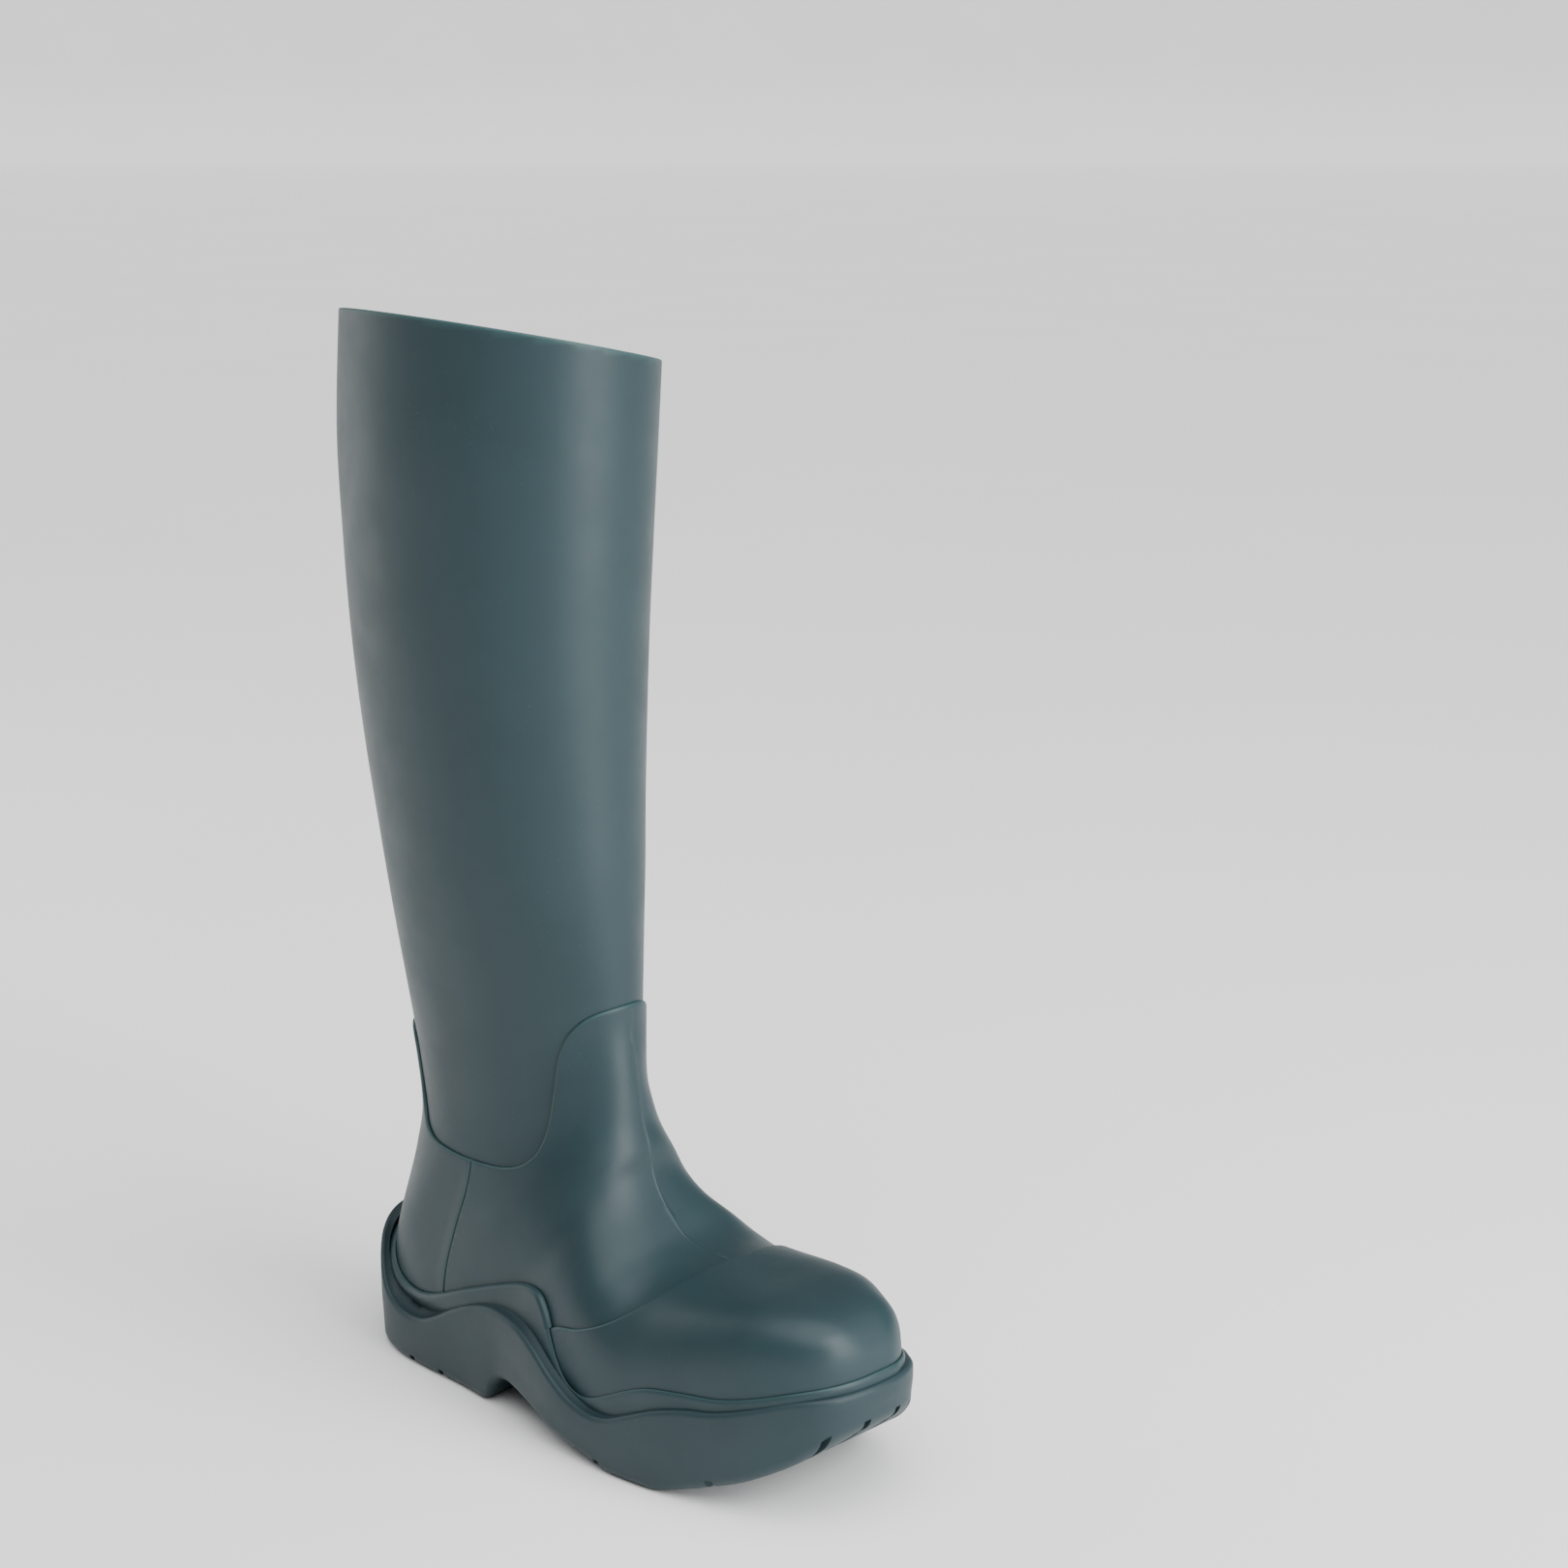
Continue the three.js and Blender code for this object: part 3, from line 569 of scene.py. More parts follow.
def outward(piece):
    """Turns every face of a closed piece outwards."""
    bm = bmesh.new()
    bm.from_mesh(piece.data)
    bmesh.ops.remove_doubles(bm, verts=bm.verts, dist=1e-7)
    bmesh.ops.recalc_face_normals(bm, faces=bm.faces)
    bm.to_mesh(piece.data)
    bm.free()


def closed_piece(name, points, faces):
    """A new closed solid with its faces turned outwards."""
    piece = mesh_piece(name, points, faces)
    outward(piece)
    return piece


def carve(piece, cutter):
    """Cuts a piece with another, and removes the other."""
    tool = piece.modifiers.new("cut", "BOOLEAN")
    tool.operation, tool.solver, tool.object = "DIFFERENCE", "EXACT", cutter
    bake_modifiers(piece)
    bpy.data.objects.remove(cutter)


def bake_modifiers(piece):
    """Turns the evaluated piece into a plain mesh and drops its modifiers."""
    bpy.context.view_layer.update()
    graph = bpy.context.evaluated_depsgraph_get()
    mesh = bpy.data.meshes.new_from_object(piece.evaluated_get(graph), depsgraph=graph)
    piece.modifiers.clear()
    piece.data = mesh


# ---- materials ------------------------------------------------------------------------------

class Surface:
    """A Principled material with a few short ways of adding nodes to it."""

    def __init__(self, name):
        self.material = bpy.data.materials.new(name)
        self.material.use_nodes = True
        self.tree = self.material.node_tree
        self.shader = self.tree.nodes["Principled BSDF"]
        self.place = self.node("ShaderNodeTexCoord").outputs["Object"]

    def node(self, kind, **settings):
        node = self.tree.nodes.new(kind)
        for name, value in settings.items():
            setattr(node, name, value)
        return node

    def feed(self, source, target):
        self.tree.links.new(source, target)

    def noise(self, scale, detail=3.0, roughness=0.55, stretch=(1, 1, 1)):
        place = self.node("ShaderNodeMapping")
        place.inputs["Scale"].default_value = stretch
        self.feed(self.place, place.inputs["Vector"])
        noise = self.node("ShaderNodeTexNoise")
        noise.inputs["Scale"].default_value = scale
        noise.inputs["Detail"].default_value = detail
        noise.inputs["Roughness"].default_value = roughness
        self.feed(place.outputs[0], noise.inputs["Vector"])
        return noise.outputs["Fac"]

    def ramp(self, value, low, high, to_low=0.0, to_high=1.0, smooth=True):
        ramp = self.node("ShaderNodeMapRange")
        ramp.interpolation_type = "SMOOTHSTEP" if smooth else "LINEAR"
        limits = {"From Min": low, "From Max": high, "To Min": to_low, "To Max": to_high}
        for name, limit in limits.items():
            ramp.inputs[name].default_value = limit
        self.feed(value, ramp.inputs["Value"])
        return ramp.outputs["Result"]

    def mix(self, amount, first, second):
        mix = self.node("ShaderNodeMix", data_type="RGBA")
        self.feed(amount, mix.inputs["Factor"])
        for value, socket in ((first, mix.inputs["A"]), (second, mix.inputs["B"])):
            if isinstance(value, tuple):
                socket.default_value = value
            else:
                self.feed(value, socket)
        return mix.outputs["Result"]

    def maths(self, kind, first, second):
        node = self.node("ShaderNodeMath", operation=kind)
        for value, socket in zip((first, second), node.inputs):
            if isinstance(value, (int, float)):
                socket.default_value = value
            else:
                self.feed(value, socket)
        return node.outputs[0]

    def bump(self, height, distance, strength=1.0, under=None):
        bump = self.node("ShaderNodeBump")
        bump.inputs["Strength"].default_value = strength
        bump.inputs["Distance"].default_value = distance
        self.feed(height, bump.inputs["Height"])
        if under is not None:
            self.feed(under, bump.inputs["Normal"])
        return bump.outputs["Normal"]

    def attribute(self, name):
        return self.node("ShaderNodeAttribute", attribute_name=name).outputs["Fac"]


def rgba(colour, factor=1.0):
    """A colour with full alpha, made lighter or darker by a factor."""
    return tuple(c * factor for c in colour[:3]) + (1.0,)


def rubber(name, colour, highlight_colour, roughness):
    """Satin moulded rubber: clouded colour, fine moulding grain, bloom, a little dust and a painted
    highlight along sheet edges.
    """
    look = Surface(name)
    clouds = look.ramp(look.noise(14.0, 4.0), 0.3, 0.7)
    base = look.mix(clouds, rgba(colour, 0.93), rgba(colour, 1.07))
    drift = look.ramp(look.noise(60.0, 5.0, 0.6), 0.35, 0.75)
    base = look.mix(look.maths("MULTIPLY", drift, 0.35), base, rgba(colour, 1.16))
    specks = look.ramp(look.noise(1500.0, 1.0), 0.735, 0.76)
    patches = look.ramp(look.noise(22.0, 2.0), 0.45, 0.7)
    dust = look.maths("MULTIPLY", look.maths("MULTIPLY", specks, patches), 0.30)
    base = look.mix(dust, base, (0.16, 0.20, 0.20, 1.0))
    # Painted highlight: the edge attribute lightens the colour along the rounded edges of the sheets.
    base = look.mix(look.attribute("edge"), base, rgba(highlight_colour))
    look.feed(base, look.shader.inputs["Base Color"])
    sheen = look.ramp(look.noise(35.0, 5.0, 0.65), 0.3, 0.7, roughness - 0.035, roughness + 0.04)
    rough = look.maths("ADD", sheen, look.maths("MULTIPLY", dust, 0.5))
    look.feed(rough, look.shader.inputs["Roughness"])
    look.shader.inputs["IOR"].default_value = 1.5
    look.shader.inputs["Specular IOR Level"].default_value = 0.36
    skin = look.bump(look.noise(2600.0, 2.0), 0.00002, 0.5)
    flow = look.bump(look.noise(38.0, 3.0, stretch=(1, 1, 0.35)), 0.00035, 0.22, skin)
    look.feed(flow, look.shader.inputs["Normal"])
    return look.material


def knit(name, colour, rib, direction):
    """Fine ribbed jersey, its wales running along the leg or across the foot."""
    look = Surface(name)
    wave = look.node("ShaderNodeTexWave", wave_type="BANDS", bands_direction=direction, wave_profile="SIN")
    wave.inputs["Scale"].default_value = rib
    wave.inputs["Distortion"].default_value = 0.6
    wave.inputs["Detail"].default_value = 1.0
    look.feed(look.place, wave.inputs["Vector"])
    rows = look.node("ShaderNodeTexWave", wave_type="BANDS", bands_direction="Z", wave_profile="SIN")
    rows.inputs["Scale"].default_value = rib * 1.4
    look.feed(look.place, rows.inputs["Vector"])
    loops = look.maths("MULTIPLY", wave.outputs["Fac"], look.ramp(rows.outputs["Fac"], 0, 1, 0.6, 1.0))
    fluff = look.ramp(look.noise(900.0, 4.0), 0.3, 0.7)
    base = look.mix(loops, rgba(colour, 0.55), rgba(colour, 1.5))
    base = look.mix(look.maths("MULTIPLY", fluff, 0.35), base, rgba(colour, 1.9))
    look.feed(base, look.shader.inputs["Base Color"])
    look.shader.inputs["Roughness"].default_value = 0.92
    look.shader.inputs["Sheen Weight"].default_value = 0.25
    look.feed(look.bump(look.maths("ADD", loops, fluff), 0.0002, 0.7), look.shader.inputs["Normal"])
    return look.material


def grained(name, light, dark, scale, roughness, metal=0.0, stretch=(1, 1, 1), depth=0.0002):
    """Foam, board and steel: two tones, a grain and a matching bump."""
    look = Surface(name)
    grain = look.ramp(look.noise(scale, 6.0, 0.65, stretch), 0.3, 0.7)
    coarse = look.ramp(look.noise(scale / 9, 3.0), 0.35, 0.65)
    base = look.mix(grain, rgba(dark), rgba(light))
    base = look.mix(look.maths("MULTIPLY", coarse, 0.3), base, rgba(dark, 0.85))
    look.feed(base, look.shader.inputs["Base Color"])
    look.feed(look.ramp(grain, 0, 1, roughness - 0.08, roughness + 0.05), look.shader.inputs["Roughness"])
    look.shader.inputs["Metallic"].default_value = metal
    look.feed(look.bump(grain, depth, 0.5), look.shader.inputs["Normal"])
    return look.material


def material(name, make, *values):
    """The material of this name, made the first time it is asked for."""
    return bpy.data.materials.get(name) or make(name, *values)


def colours():
    """The colours, finishes and lights that the panel holds."""
    return bpy.context.scene.rain_boot_looks


def sizes():
    """The sizes that the panel holds."""
    return bpy.context.scene.rain_boot_sizes


def upper_rubber():
    """The rubber of the leg, the foot sheets and the rand."""
    looks = colours()
    return material("upper rubber", rubber, looks.upper, looks.edge_highlight, looks.upper_roughness)


def sole_rubber():
    """The rubber of the outsole."""
    looks = colours()
    return material("sole rubber", rubber, looks.sole, looks.edge_highlight, looks.sole_roughness)


def lining_knit():
    """The thin knit of the linings and the footbed's cover."""
    return material("lining knit", knit, colours().lining, 260.0, "DIAGONAL")


# ---- pieces ---------------------------------------------------------------------------------

def foot_floor_open(q):
    """A field that falls below zero under the foot, inside the hole for the filler."""
    p = surface(q)
    ring = plan_ring(0, 160)
    ring = np.vstack([ring, ring[:1]])
    deep = line_distance(ring, p[:, 0], p[:, 1])
    return np.where(p[:, 2] > height_on(bed_line, p[:, 0]) + 14, 12.0, 16.7 - deep)


def upper_grid():
    """The whole surface, as finely meshed as the outer sheets need."""
    spacing = sizes().spacing / MM
    return surface_grid(spacing, int(sizes().around))


def make_leg_shaft():
    edge = sizes().rim_round / MM
    q, tri = upper_grid()
    low = over_line(collar_line, 1, -LEG_LAP)
    q, tri = keep_above(q, tri, low)
    rim = under_rim()
    q, tri = keep_above(q, tri, rim)
    q, tri = with_levels(q, tri, rim, edge)
    heart = IN_SHEET / 2

    def outer(q):
        return rounded(rim(q), edge, heart + 0.35, 0.0)

    def inner(q):
        return rounded(rim(q), edge, heart - 0.35, IN_SHEET)

    points, faces = sheet_solid(q, tri, outer, inner)
    shaft = mesh_piece("leg_shaft_rubber", points, faces, painted_edge_highlight(rim(q), 0.4, 1.2, 0.8))
    finish_piece(shaft, upper_rubber(), ["leg_shaft"])


def ridge(distance, width, height):
    """A rounded bead of this half width and height along distance 0."""
    return height * np.sqrt(np.maximum(1 - (distance / width) ** 2, 0))


def centre_plane(q):
    """A field across the boot, zero on the plane where the mould halves meet."""
    return surface(q)[:, 1]


def make_vamp():
    lap = sizes().lap_round / MM
    collar = over_line(collar_line, -1, -GLUE / 2)
    front = toe_side(quarter_line, 1, GLUE)
    under = toe_side(quarter_line, 1, -QUARTER_LAP)
    full = over_line(collar_line, -1, -LEG_LAP - GLUE)
    q, tri = upper_grid()
    q, tri = keep_above(q, tri, foot_floor_open)
    q, tri = keep_above(q, tri, collar)
    q, tri = keep_above(q, tri, under)
    q, tri = with_levels(q, tri, collar, lap)
    q, tri = split_at(q, tri, front, (0.0, 0.12, 0.5))
    q, tri = split_at(q, tri, full, (0.0, 0.1))
    width = sizes().mould_line / MM
    q, tri = split_at(q, tri, centre_plane, (-width, -width / 2, 0.0, width / 2, width))

    def outer(q):
        flash = ridge(centre_plane(q), width, 0.14) * (q[:, 1] > 0) * smoothstep(collar(q), 0, 3)
        top = rounded(collar(q), lap, 0.45, OUT_FOOT) + flash
        return np.where(front(q) > 0.05, rounded(front(q), 0.5, 1.1, OUT_FOOT) + top - OUT_FOOT,
                        np.minimum(top, -0.2 + 0.5 * (collar(q) < LEG_LAP + GLUE)))

    def inner(q):
        return np.where(full(q) > 0.05, IN_SHEET, 0.3 - 0.5 * (front(q) < 0.05))

    points, faces = sheet_solid(q, tri, outer, inner)
    vamp = mesh_piece("vamp_rubber", points, faces, painted_edge_highlight(collar(q), 0.2, 0.9, 0.55))
    finish_piece(vamp, upper_rubber(), ["vamp"])


def make_heel_quarter():
    lap = sizes().lap_round / MM
    collar = over_line(collar_line, -1, -GLUE / 2)
    back = toe_side(quarter_line, -1)
    past_lap = toe_side(quarter_line, -1, -QUARTER_LAP - GLUE)
    full = over_line(collar_line, -1, -LEG_LAP - GLUE)
    q, tri = upper_grid()
    q, tri = keep_above(q, tri, foot_floor_open)
    q, tri = keep_above(q, tri, collar)
    q, tri = keep_above(q, tri, back)
    q, tri = with_levels(q, tri, collar, lap)
    q, tri = with_levels(q, tri, back, 0.7)
    q, tri, _ = split(q, tri, back, 2.6)
    for step in (0.0, 0.1):
        q, tri, _ = split(q, tri, past_lap, step)
        q, tri, _ = split(q, tri, full, step)
    proud = sizes().quarter_lap / MM

    def outer(q):
        swell = proud * (1 - smoothstep(back(q), 0.7, 6.0))
        top = rounded(collar(q), lap, 0.45, OUT_FOOT) - OUT_FOOT
        return rounded(back(q), 0.7, 1.1, OUT_FOOT) + swell * smoothstep(collar(q), 0, 2) + top

    def inner(q):
        under = np.where(past_lap(q) > 0.05, IN_SHEET, 0.1)
        return np.where(full(q) > 0.05, under, 0.3)

    points, faces = sheet_solid(q, tri, outer, inner)
    near = np.minimum(collar(q), back(q) + 0.25)
    quarter = mesh_piece("heel_quarter_rubber", points, faces, painted_edge_highlight(near, 0.2, 0.9, 0.55))
    finish_piece(quarter, upper_rubber(), ["heel_quarter"])


def make_toe_cap():
    lap = sizes().lap_round / MM
    back = toe_side(cap_line)
    low = over_line(rand_line, 1, -CAP_LAP)
    q, tri = upper_grid()
    q, tri = keep_above(q, tri, low)
    q, tri = keep_above(q, tri, back)
    q, tri = with_levels(q, tri, back, lap)

    def outer(q):
        return rounded(back(q), lap, 1.95, OUT_CAP)

    points, faces = sheet_solid(q, tri, outer, everywhere(1.75))
    cap = mesh_piece("toe_cap_rubber", points, faces, painted_edge_highlight(back(q), 0.2, 0.9, 0.5))
    finish_piece(cap, upper_rubber(), ["toe_cap"])


def make_rand():
    bead = sizes().rand_round / MM
    top = over_line(rand_line, -1)
    low = over_line(lip_line, 1, -RAND_DEPTH)
    on_cap = toe_side(cap_line, 1, -GLUE)
    over_cap = over_line(rand_line, 1, -CAP_LAP - GLUE)
    q, tri = upper_grid()
    q, tri = keep_above(q, tri, foot_floor_open)
    q, tri = keep_above(q, tri, top)
    q, tri = keep_above(q, tri, low)
    q, tri = with_levels(q, tri, top, bead)
    for step in (0.0, 0.1):
        q, tri, _ = split(q, tri, on_cap, step)
        q, tri, _ = split(q, tri, over_cap, step)

    def seat(q):
        lies_on_cap = (on_cap(q) > 0.05) & (over_cap(q) > 0.05)
        return np.where(lies_on_cap, OUT_CAP + GLUE, OUT_FOOT + GLUE)

    def outer(q):
        return rounded(top(q), bead, seat(q) + 0.15, OUT_RAND)

    points, faces = sheet_solid(q, tri, outer, seat)
    rand = mesh_piece("rand_rubber", points, faces, painted_edge_highlight(top(q), 0.1, 0.8, 0.35))
    finish_piece(rand, upper_rubber(), ["rand"])


def sole_rings():
    """Rings of the outsole from the tread up to the lip."""
    lip_round = sizes().lip_round / MM
    levels = []
    for turn in np.linspace(0, math.pi / 2, 7):
        levels.append((5.4 - 4.6 * math.sin(turn), "under", 4.8 * (1 - math.cos(turn))))
    for share in (0.2, 0.35, 0.5, 0.65, 0.8):
        levels.append((0.8 - 0.8 * smoothstep(share, 0, 0.7), "between", share))
    for turn in np.linspace(0, math.pi / 2, 8):
        levels.append((lip_round * 0.8 * (1 - math.cos(turn)), "lip", -lip_round * (1 - math.sin(turn))))
    levels += [(2.8, "lip", 0.0), (5.0, "lip", 0.9), (7.5, "lip", 2.4)]
    rings = []
    for inset, kind, value in levels:
        ring = plan_ring(inset)
        low = height_on(under_line, ring[:, 0])
        high = height_on(lip_line, ring[:, 0])
        z = {"under": low + value, "lip": high + value,
             "between": low + 4.8 + (high - low - 4.8 - lip_round) * value}[kind]
        rings.append(np.column_stack([ring, z]))
    return rings


def foot_block(offset):
    """The foot as one closed body, to cut the outsole out with."""
    around = 96
    q, tri = surface_grid(4.0, around, 0.0, T_END)
    q, tri = keep_above(q, tri, under_height(175.0))
    points = at(q, np.full(len(q), offset))
    rim = open_edges(tri)
    hub = len(points)
    points = np.vstack([points, points[rim[:, 0]].mean(0)])
    cap = np.column_stack([rim[:, 1], rim[:, 0], np.full(len(rim), hub)])
    return points, np.vstack([tri, cap])


def rand_room():
    """Cutter that makes room in the outsole for the rand."""
    q, tri = surface_grid(3.6, 120)
    q, tri = keep_above(q, tri, over_line(lip_line, 1, -RAND_DEPTH - GLUE))
    q, tri = keep_above(q, tri, under_height(120.0))
    points, faces = sheet_solid(q, tri, everywhere(OUT_RAND + 0.05), everywhere(0.0))
    return closed_piece("rand room", points, faces)


def make_outsole():
    rings = sole_rings()
    points, faces = loft(rings)
    count = len(rings[0])
    first = list(range(count))
    last = list(range((len(rings) - 1) * count, len(rings) * count))
    points, bottom = strip_fill(points, first, False)
    points, top = strip_fill(points, last, True)
    sole = closed_piece("outsole_rubber", points, [*faces, *bottom, *top])
    carve(sole, closed_piece("foot room", *foot_block(OUT_FOOT + GLUE)))
    carve(sole, rand_room())
    carve(sole, cross_grooves())
    carve(sole, toe_grooves())
    carve(sole, tread_lines())
    mesh = sole.data
    mesh.polygons.foreach_set("use_smooth", np.ones(len(mesh.polygons), bool))
    mesh.set_sharp_from_angle(angle=math.radians(34))
    finish_piece(sole, sole_rubber(), ["outsole"])


def boxes_piece(name, boxes):
    """One object of separate boxes, each given as its low and high corner."""
    points, faces = [], []
    quads = ((0, 1, 3, 2), (4, 6, 7, 5), (0, 4, 5, 1), (2, 3, 7, 6), (0, 2, 6, 4), (1, 5, 7, 3))
    for low, high in boxes:
        base = len(points)
        for i in (0, 1):
            for j in (0, 1):
                for k in (0, 1):
                    points.append(((low, high)[i][0], (low, high)[j][1], (low, high)[k][2]))
        faces += [[base + v for v in quad] for quad in quads]
    return closed_piece(name, points, faces)


def groove_top(x):
    """How high a groove of the tread is cut at x."""
    return height_on(under_line, x) + sizes().groove_depth / MM


def cross_grooves():
    """Cutter for the grooves across the tread, some of which show as notches at the edge."""
    half = sizes().groove_width / MM / 2
    boxes = [((x - half, -reach, UNDER_GROUND), (x + half, reach, groove_top(x)))
             for x, reach in GROOVES]
    return boxes_piece("grooves", boxes)


def toe_grooves():
    """Cutter for the short grooves that run out over the front of the toe."""
    half = sizes().groove_width / MM / 2
    stations = 18
    points, faces = [], []
    for y in TOE_GROOVES:
        base = len(points)
        for x in np.linspace(*TOE_GROOVE_RUN, stations):
            for side, z in ((-half, UNDER_GROUND), (half, UNDER_GROUND),
                            (half, groove_top(x)), (-half, groove_top(x))):
                points.append((x, y + side, z))
        for a in range(base, base + 4 * (stations - 1), 4):
            faces += [(a + k, a + (k + 1) % 4, a + 4 + (k + 1) % 4, a + 4 + k) for k in range(4)]
        last = base + 4 * (stations - 1)
        faces += [tuple(range(base + 3, base - 1, -1)), tuple(range(last, last + 4))]
    return closed_piece("toe grooves", points, faces)


def tread_lines():
    """Cutter for the fine cross lines of the tread, laid out by Geometry Nodes."""
    tree = bpy.data.node_groups.new("tread lines", "GeometryNodeTree")
    tree.interface.new_socket("Count", in_out="INPUT", socket_type="NodeSocketInt")
    tree.interface.new_socket("Step", in_out="INPUT", socket_type="NodeSocketFloat")
    tree.interface.new_socket("Material", in_out="INPUT", socket_type="NodeSocketMaterial")
    tree.interface.new_socket("Geometry", in_out="OUTPUT", socket_type="NodeSocketGeometry")
    put, take = tree.nodes.new("NodeGroupInput"), tree.nodes.new("NodeGroupOutput")
    line = tree.nodes.new("GeometryNodeMeshLine")
    start = (SHIFT + (TREAD_LINES_BACK, 0, 0)) * MM
    line.inputs["Start Location"].default_value = tuple(start)
    step = tree.nodes.new("ShaderNodeCombineXYZ")
    tree.links.new(put.outputs["Step"], step.inputs["X"])
    tree.links.new(put.outputs["Count"], line.inputs["Count"])
    tree.links.new(step.outputs[0], line.inputs["Offset"])
    bar = tree.nodes.new("GeometryNodeMeshCube")
    bar.inputs["Size"].default_value = TREAD_LINE_SIZE
    spread = tree.nodes.new("GeometryNodeInstanceOnPoints")
    tree.links.new(line.outputs["Mesh"], spread.inputs["Points"])
    tree.links.new(bar.outputs["Mesh"], spread.inputs["Instance"])
    real = tree.nodes.new("GeometryNodeRealizeInstances")
    tree.links.new(spread.outputs["Instances"], real.inputs["Geometry"])
    paint = tree.nodes.new("GeometryNodeSetMaterial")
    tree.links.new(real.outputs["Geometry"], paint.inputs["Geometry"])
    tree.links.new(put.outputs["Material"], paint.inputs["Material"])
    tree.links.new(paint.outputs["Geometry"], take.inputs["Geometry"])
    mesh = bpy.data.meshes.new("tread lines")
    lines = bpy.data.objects.new("tread lines", mesh)
    bpy.context.scene.collection.objects.link(lines)
    nodes = lines.modifiers.new("tread lines", "NODES")
    nodes.node_group = tree
    sockets = {s.name: s.identifier for s in tree.interface.items_tree if s.in_out == "INPUT"}
    nodes[sockets["Count"]] = sizes().tread_lines
    nodes[sockets["Step"]] = sizes().tread_line_step
    nodes[sockets["Material"]] = sole_rubber()
    bake_modifiers(lines)
    return lines


def make_leg_lining():
    q, tri = surface_grid(4.0, 120)
    q, tri = keep_above(q, tri, over_height(LINING_JOIN + GLUE / 2))
    rim = under_rim(0.8)
    q, tri = keep_above(q, tri, rim)
    q, tri = with_levels(q, tri, rim, 0.8)

    def inner(q):
        return rounded(rim(q), 0.8, -2.6, IN_LEG_LINING)

    points, faces = sheet_solid(q, tri, everywhere(-2.25), inner)
    lining = mesh_piece("leg_lining_knit", points, faces)
    finish_piece(lining, lining_knit(), ["leg_lining"])


def make_foot_lining():
    q, tri = surface_grid(4.4, 110)

    def over_board(q):
        p = surface(q)
        return p[:, 2] - height_on(bed_line, p[:, 0]) - 5.0

    q, tri = keep_above(q, tri, under_height(LINING_JOIN - GLUE / 2))
    q, tri = keep_above(q, tri, over_board)
    points, faces = sheet_solid(q, tri, everywhere(-2.35), everywhere(IN_FOOT_LINING))
    lining = mesh_piece("foot_lining_knit", points, faces)
    finish_piece(lining, lining_knit(), ["foot_lining"])


def better_looks():
    """The hidden CAD pieces keep their solids and take finished materials."""
    foam = material("midsole foam", grained, (0.26, 0.27, 0.24), (0.17, 0.18, 0.16), 700.0, 0.9)
    board = material("insole board", grained, (0.34, 0.25, 0.16), (0.20, 0.14, 0.085), 420.0, 0.88)
    steel = material("spring steel", grained, (0.46, 0.47, 0.48), (0.30, 0.31, 0.33), 300.0, 0.36, 1.0,
                     (0.08, 1, 1), 0.00003)
    stiff = material("stiffener board", grained, (0.12, 0.10, 0.08), (0.07, 0.06, 0.05), 520.0, 0.85)
    plan = {"midsole_filler": foam, "insole_board": board, "shank": steel,
            "toe_puff": stiff, "heel_counter": stiff}
    for name, look in plan.items():
        node = bpy.data.objects[name]
        node.data.materials.clear()
        node.data.materials.append(look)


def footprint():
    """The plan outline of the room inside the foot lining, as 360 even points."""
    q, tri = surface_grid(3.0, 132)
    p = at(q, np.full(len(q), IN_FOOT_LINING - 0.6))
    rise = p[:, 2] - height_on(bed_line, p[:, 0]) - 8.0
    pairs = np.unique(np.sort(np.vstack([tri[:, [0, 1]], tri[:, [1, 2]]]), axis=1), axis=0)
    a, b = pairs[(rise[pairs[:, 0]] > 0) != (rise[pairs[:, 1]] > 0)].T
    w = (rise[a] / (rise[a] - rise[b]))[:, None]
    edge = (p[a] * (1 - w) + p[b] * w)[:, :2]
    turn = np.arctan2(edge[:, 1] / 44, edge[:, 0] / 140)
    order = np.argsort(turn)
    turn, edge = turn[order], edge[order]
    wanted = np.linspace(-math.pi, math.pi, 720, endpoint=False)
    ring = np.column_stack([np.interp(wanted, turn, edge[:, k], period=2 * math.pi) for k in (0, 1)])
    return even_ring(softened(ring, 30), 360)


def pad_solid(levels, crown):
    """A pad that lies along the bed line, through (inset, rise) levels, its middle dished."""
    outline = footprint()
    across = inwards(outline)
    rings = []
    for inset, rise in levels:
        ring = outline + across * inset
        rings.append(np.column_stack([ring, height_on(bed_line, ring[:, 0]) + rise]))
    points, faces = loft(rings)
    count = len(outline)
    edge_count = len(points)
    points, bottom = strip_fill(points, list(range(count)), False)
    low_count = len(points)
    last = (len(rings) - 1) * count
    points, top = strip_fill(points, list(range(last, last + count)), True)
    for start, end, rise in ((edge_count, low_count, levels[0][1]), (low_count, None, levels[-1][1])):
        part = points[start:end]
        part[:, 2] = height_on(bed_line, part[:, 0]) + rise
        inner = line_distance(np.vstack([outline, outline[:1]]), part[:, 0], part[:, 1])
        part[:, 2] -= crown * smoothstep(inner, 2, 18)
    return points, [*faces, *bottom, *top], outline


def make_footbed():
    """The foam insole: a pad with a rounded top edge."""
    turn = np.linspace(0.25, math.pi / 2, 5)
    levels = [(0.7, 5.7), (0.0, 6.4), (0.0, 8.4)]
    levels += [(1.4 * (1 - math.cos(t)), 8.8 + 1.4 * math.sin(t)) for t in turn]
    points, faces, _ = pad_solid(levels, 0.6)
    slab = closed_piece("footbed_foam", points, faces)
    foam = material("footbed foam", grained, (0.24, 0.26, 0.24), (0.15, 0.165, 0.155), 800.0, 0.92)
    finish_piece(slab, foam, ["footbed"])


def make_footbed_cover():
    """The knit laid on the foam, as a closed thin pad."""
    levels = [(1.0, 10.3), (0.6, 10.55), (0.6, 10.75), (0.95, 11.0), (1.4, 11.1)]
    points, faces, outline = pad_solid(levels, 0.6)
    cover = closed_piece("footbed_cover_knit", points, faces)
    finish_piece(cover, lining_knit(), ["footbed_cover"])


# ---- stage ----------------------------------------------------------------------------------

